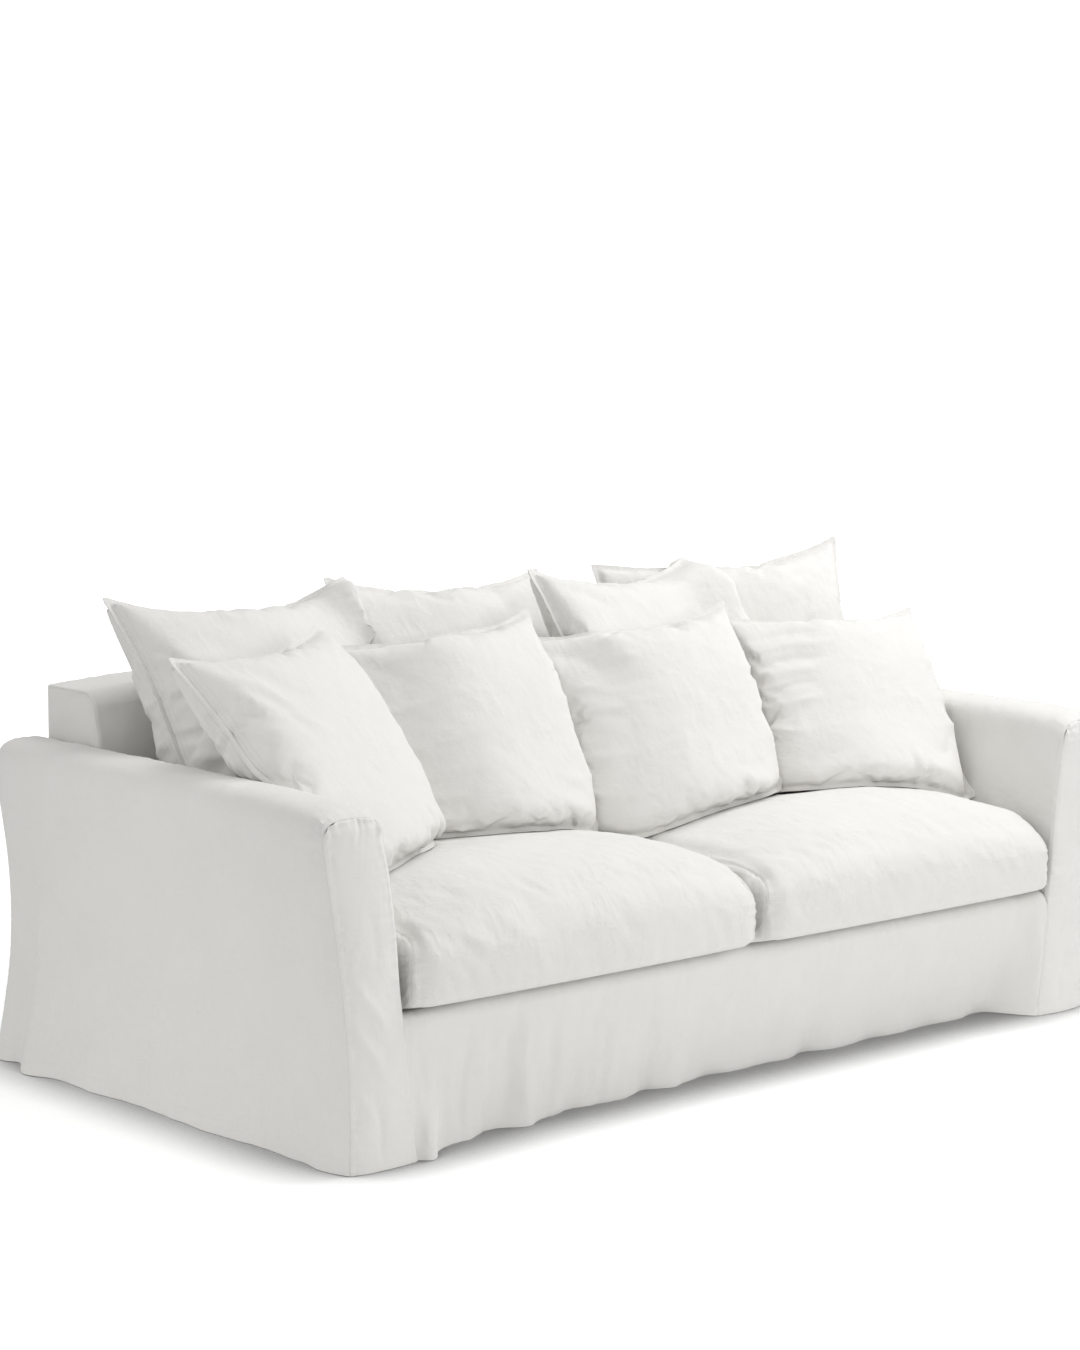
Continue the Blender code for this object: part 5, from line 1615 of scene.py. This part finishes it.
class SOFA_OT_stage(bpy.types.Operator):
    """Set the floor, the soft studio light and the camera"""
    bl_idname = "sofa_cover.stage"
    bl_label = "Stage"

    def execute(self, context):
        stage = context.scene.sofa_stage
        scene = context.scene
        scene.view_settings.view_transform = "Standard"
        bpy.ops.mesh.primitive_plane_add(size=60.0, location=(0.0, 0.0, -0.0004))
        floor = context.object
        floor.name = "studio_floor"
        floor.data.materials.append(studio_floor(stage.lift))

        world = scene.world or bpy.data.worlds.new("studio")
        scene.world = world
        world.use_nodes = True
        tree = world.node_tree
        seen = add_node(tree, "ShaderNodeLightPath").outputs["Is Camera Ray"]
        strength = add_node(tree, "ShaderNodeMix", {0: seen, 2: stage.ambient, 3: 1.05}).outputs[0]
        tree.nodes["Background"].inputs["Color"].default_value = (1.0, 1.0, 1.0, 1.0)
        tree.links.new(strength, tree.nodes["Background"].inputs["Strength"])

        for row in LIGHTS:
            light = bpy.data.lights.new(row.name, "AREA")
            light.energy = row.share * stage.key
            light.size = row.size
            light.spread = math.radians(row.spread)
            place, aim = Vector(row.place), Vector(row.aim)
            lamp = bpy.data.objects.new(row.name, light)
            scene.collection.objects.link(lamp)
            lamp.location = place
            lamp.rotation_euler = (place - aim).to_track_quat("Z", "Y").to_euler()

        camera = bpy.data.cameras.new("camera")
        camera.sensor_fit = "VERTICAL"
        camera.sensor_height = 36.0
        camera.lens = stage.lens
        camera.clip_end = 200.0
        eye = bpy.data.objects.new("camera", camera)
        scene.collection.objects.link(eye)
        eye.location = stage.camera_place
        eye.rotation_euler = (math.pi / 2.0 - stage.camera_pitch, 0.0, -stage.camera_turn)
        scene.camera = eye
        return {"FINISHED"}


class SOFA_PT_panel(bpy.types.Panel):
    """Lists the sofa cover's settings and its pieces"""
    bl_idname = "SOFA_PT_panel"
    bl_label = "Sofa Cover"
    bl_space_type = "VIEW_3D"
    bl_region_type = "UI"
    bl_category = "Sofa Cover"

    def draw(self, context):
        for label, group in (("Linen", context.scene.sofa_linen), ("Cushions", context.scene.sofa_cushions),
                             ("Stage", context.scene.sofa_stage)):
            box = self.layout.box()
            box.label(text=label)
            for key in group.bl_rna.properties.keys():
                if key not in ("rna_type", "name"):
                    box.prop(group, key)
        for operator in PIECES:
            self.layout.operator(operator.bl_idname)


PIECES = (SOFA_OT_arms, SOFA_OT_skirt, SOFA_OT_back, SOFA_OT_seats, SOFA_OT_scatter, SOFA_OT_stage)
CLASSES = (LinenSettings, CushionSettings, StageSettings, *PIECES, SOFA_PT_panel)


def register():
    for cls in CLASSES:
        bpy.utils.register_class(cls)
    bpy.types.Scene.sofa_linen = bpy.props.PointerProperty(type=LinenSettings)
    bpy.types.Scene.sofa_cushions = bpy.props.PointerProperty(type=CushionSettings)
    bpy.types.Scene.sofa_stage = bpy.props.PointerProperty(type=StageSettings)


def unregister():
    del bpy.types.Scene.sofa_linen
    del bpy.types.Scene.sofa_cushions
    del bpy.types.Scene.sofa_stage
    for cls in reversed(CLASSES):
        bpy.utils.unregister_class(cls)


def main():
    register()
    bpy.ops.sofa_cover.arms()
    bpy.ops.sofa_cover.skirt()
    bpy.ops.sofa_cover.back()
    bpy.ops.sofa_cover.seats()
    bpy.ops.sofa_cover.scatter()
    bpy.ops.sofa_cover.stage()


if __name__ == "__main__":
    main()
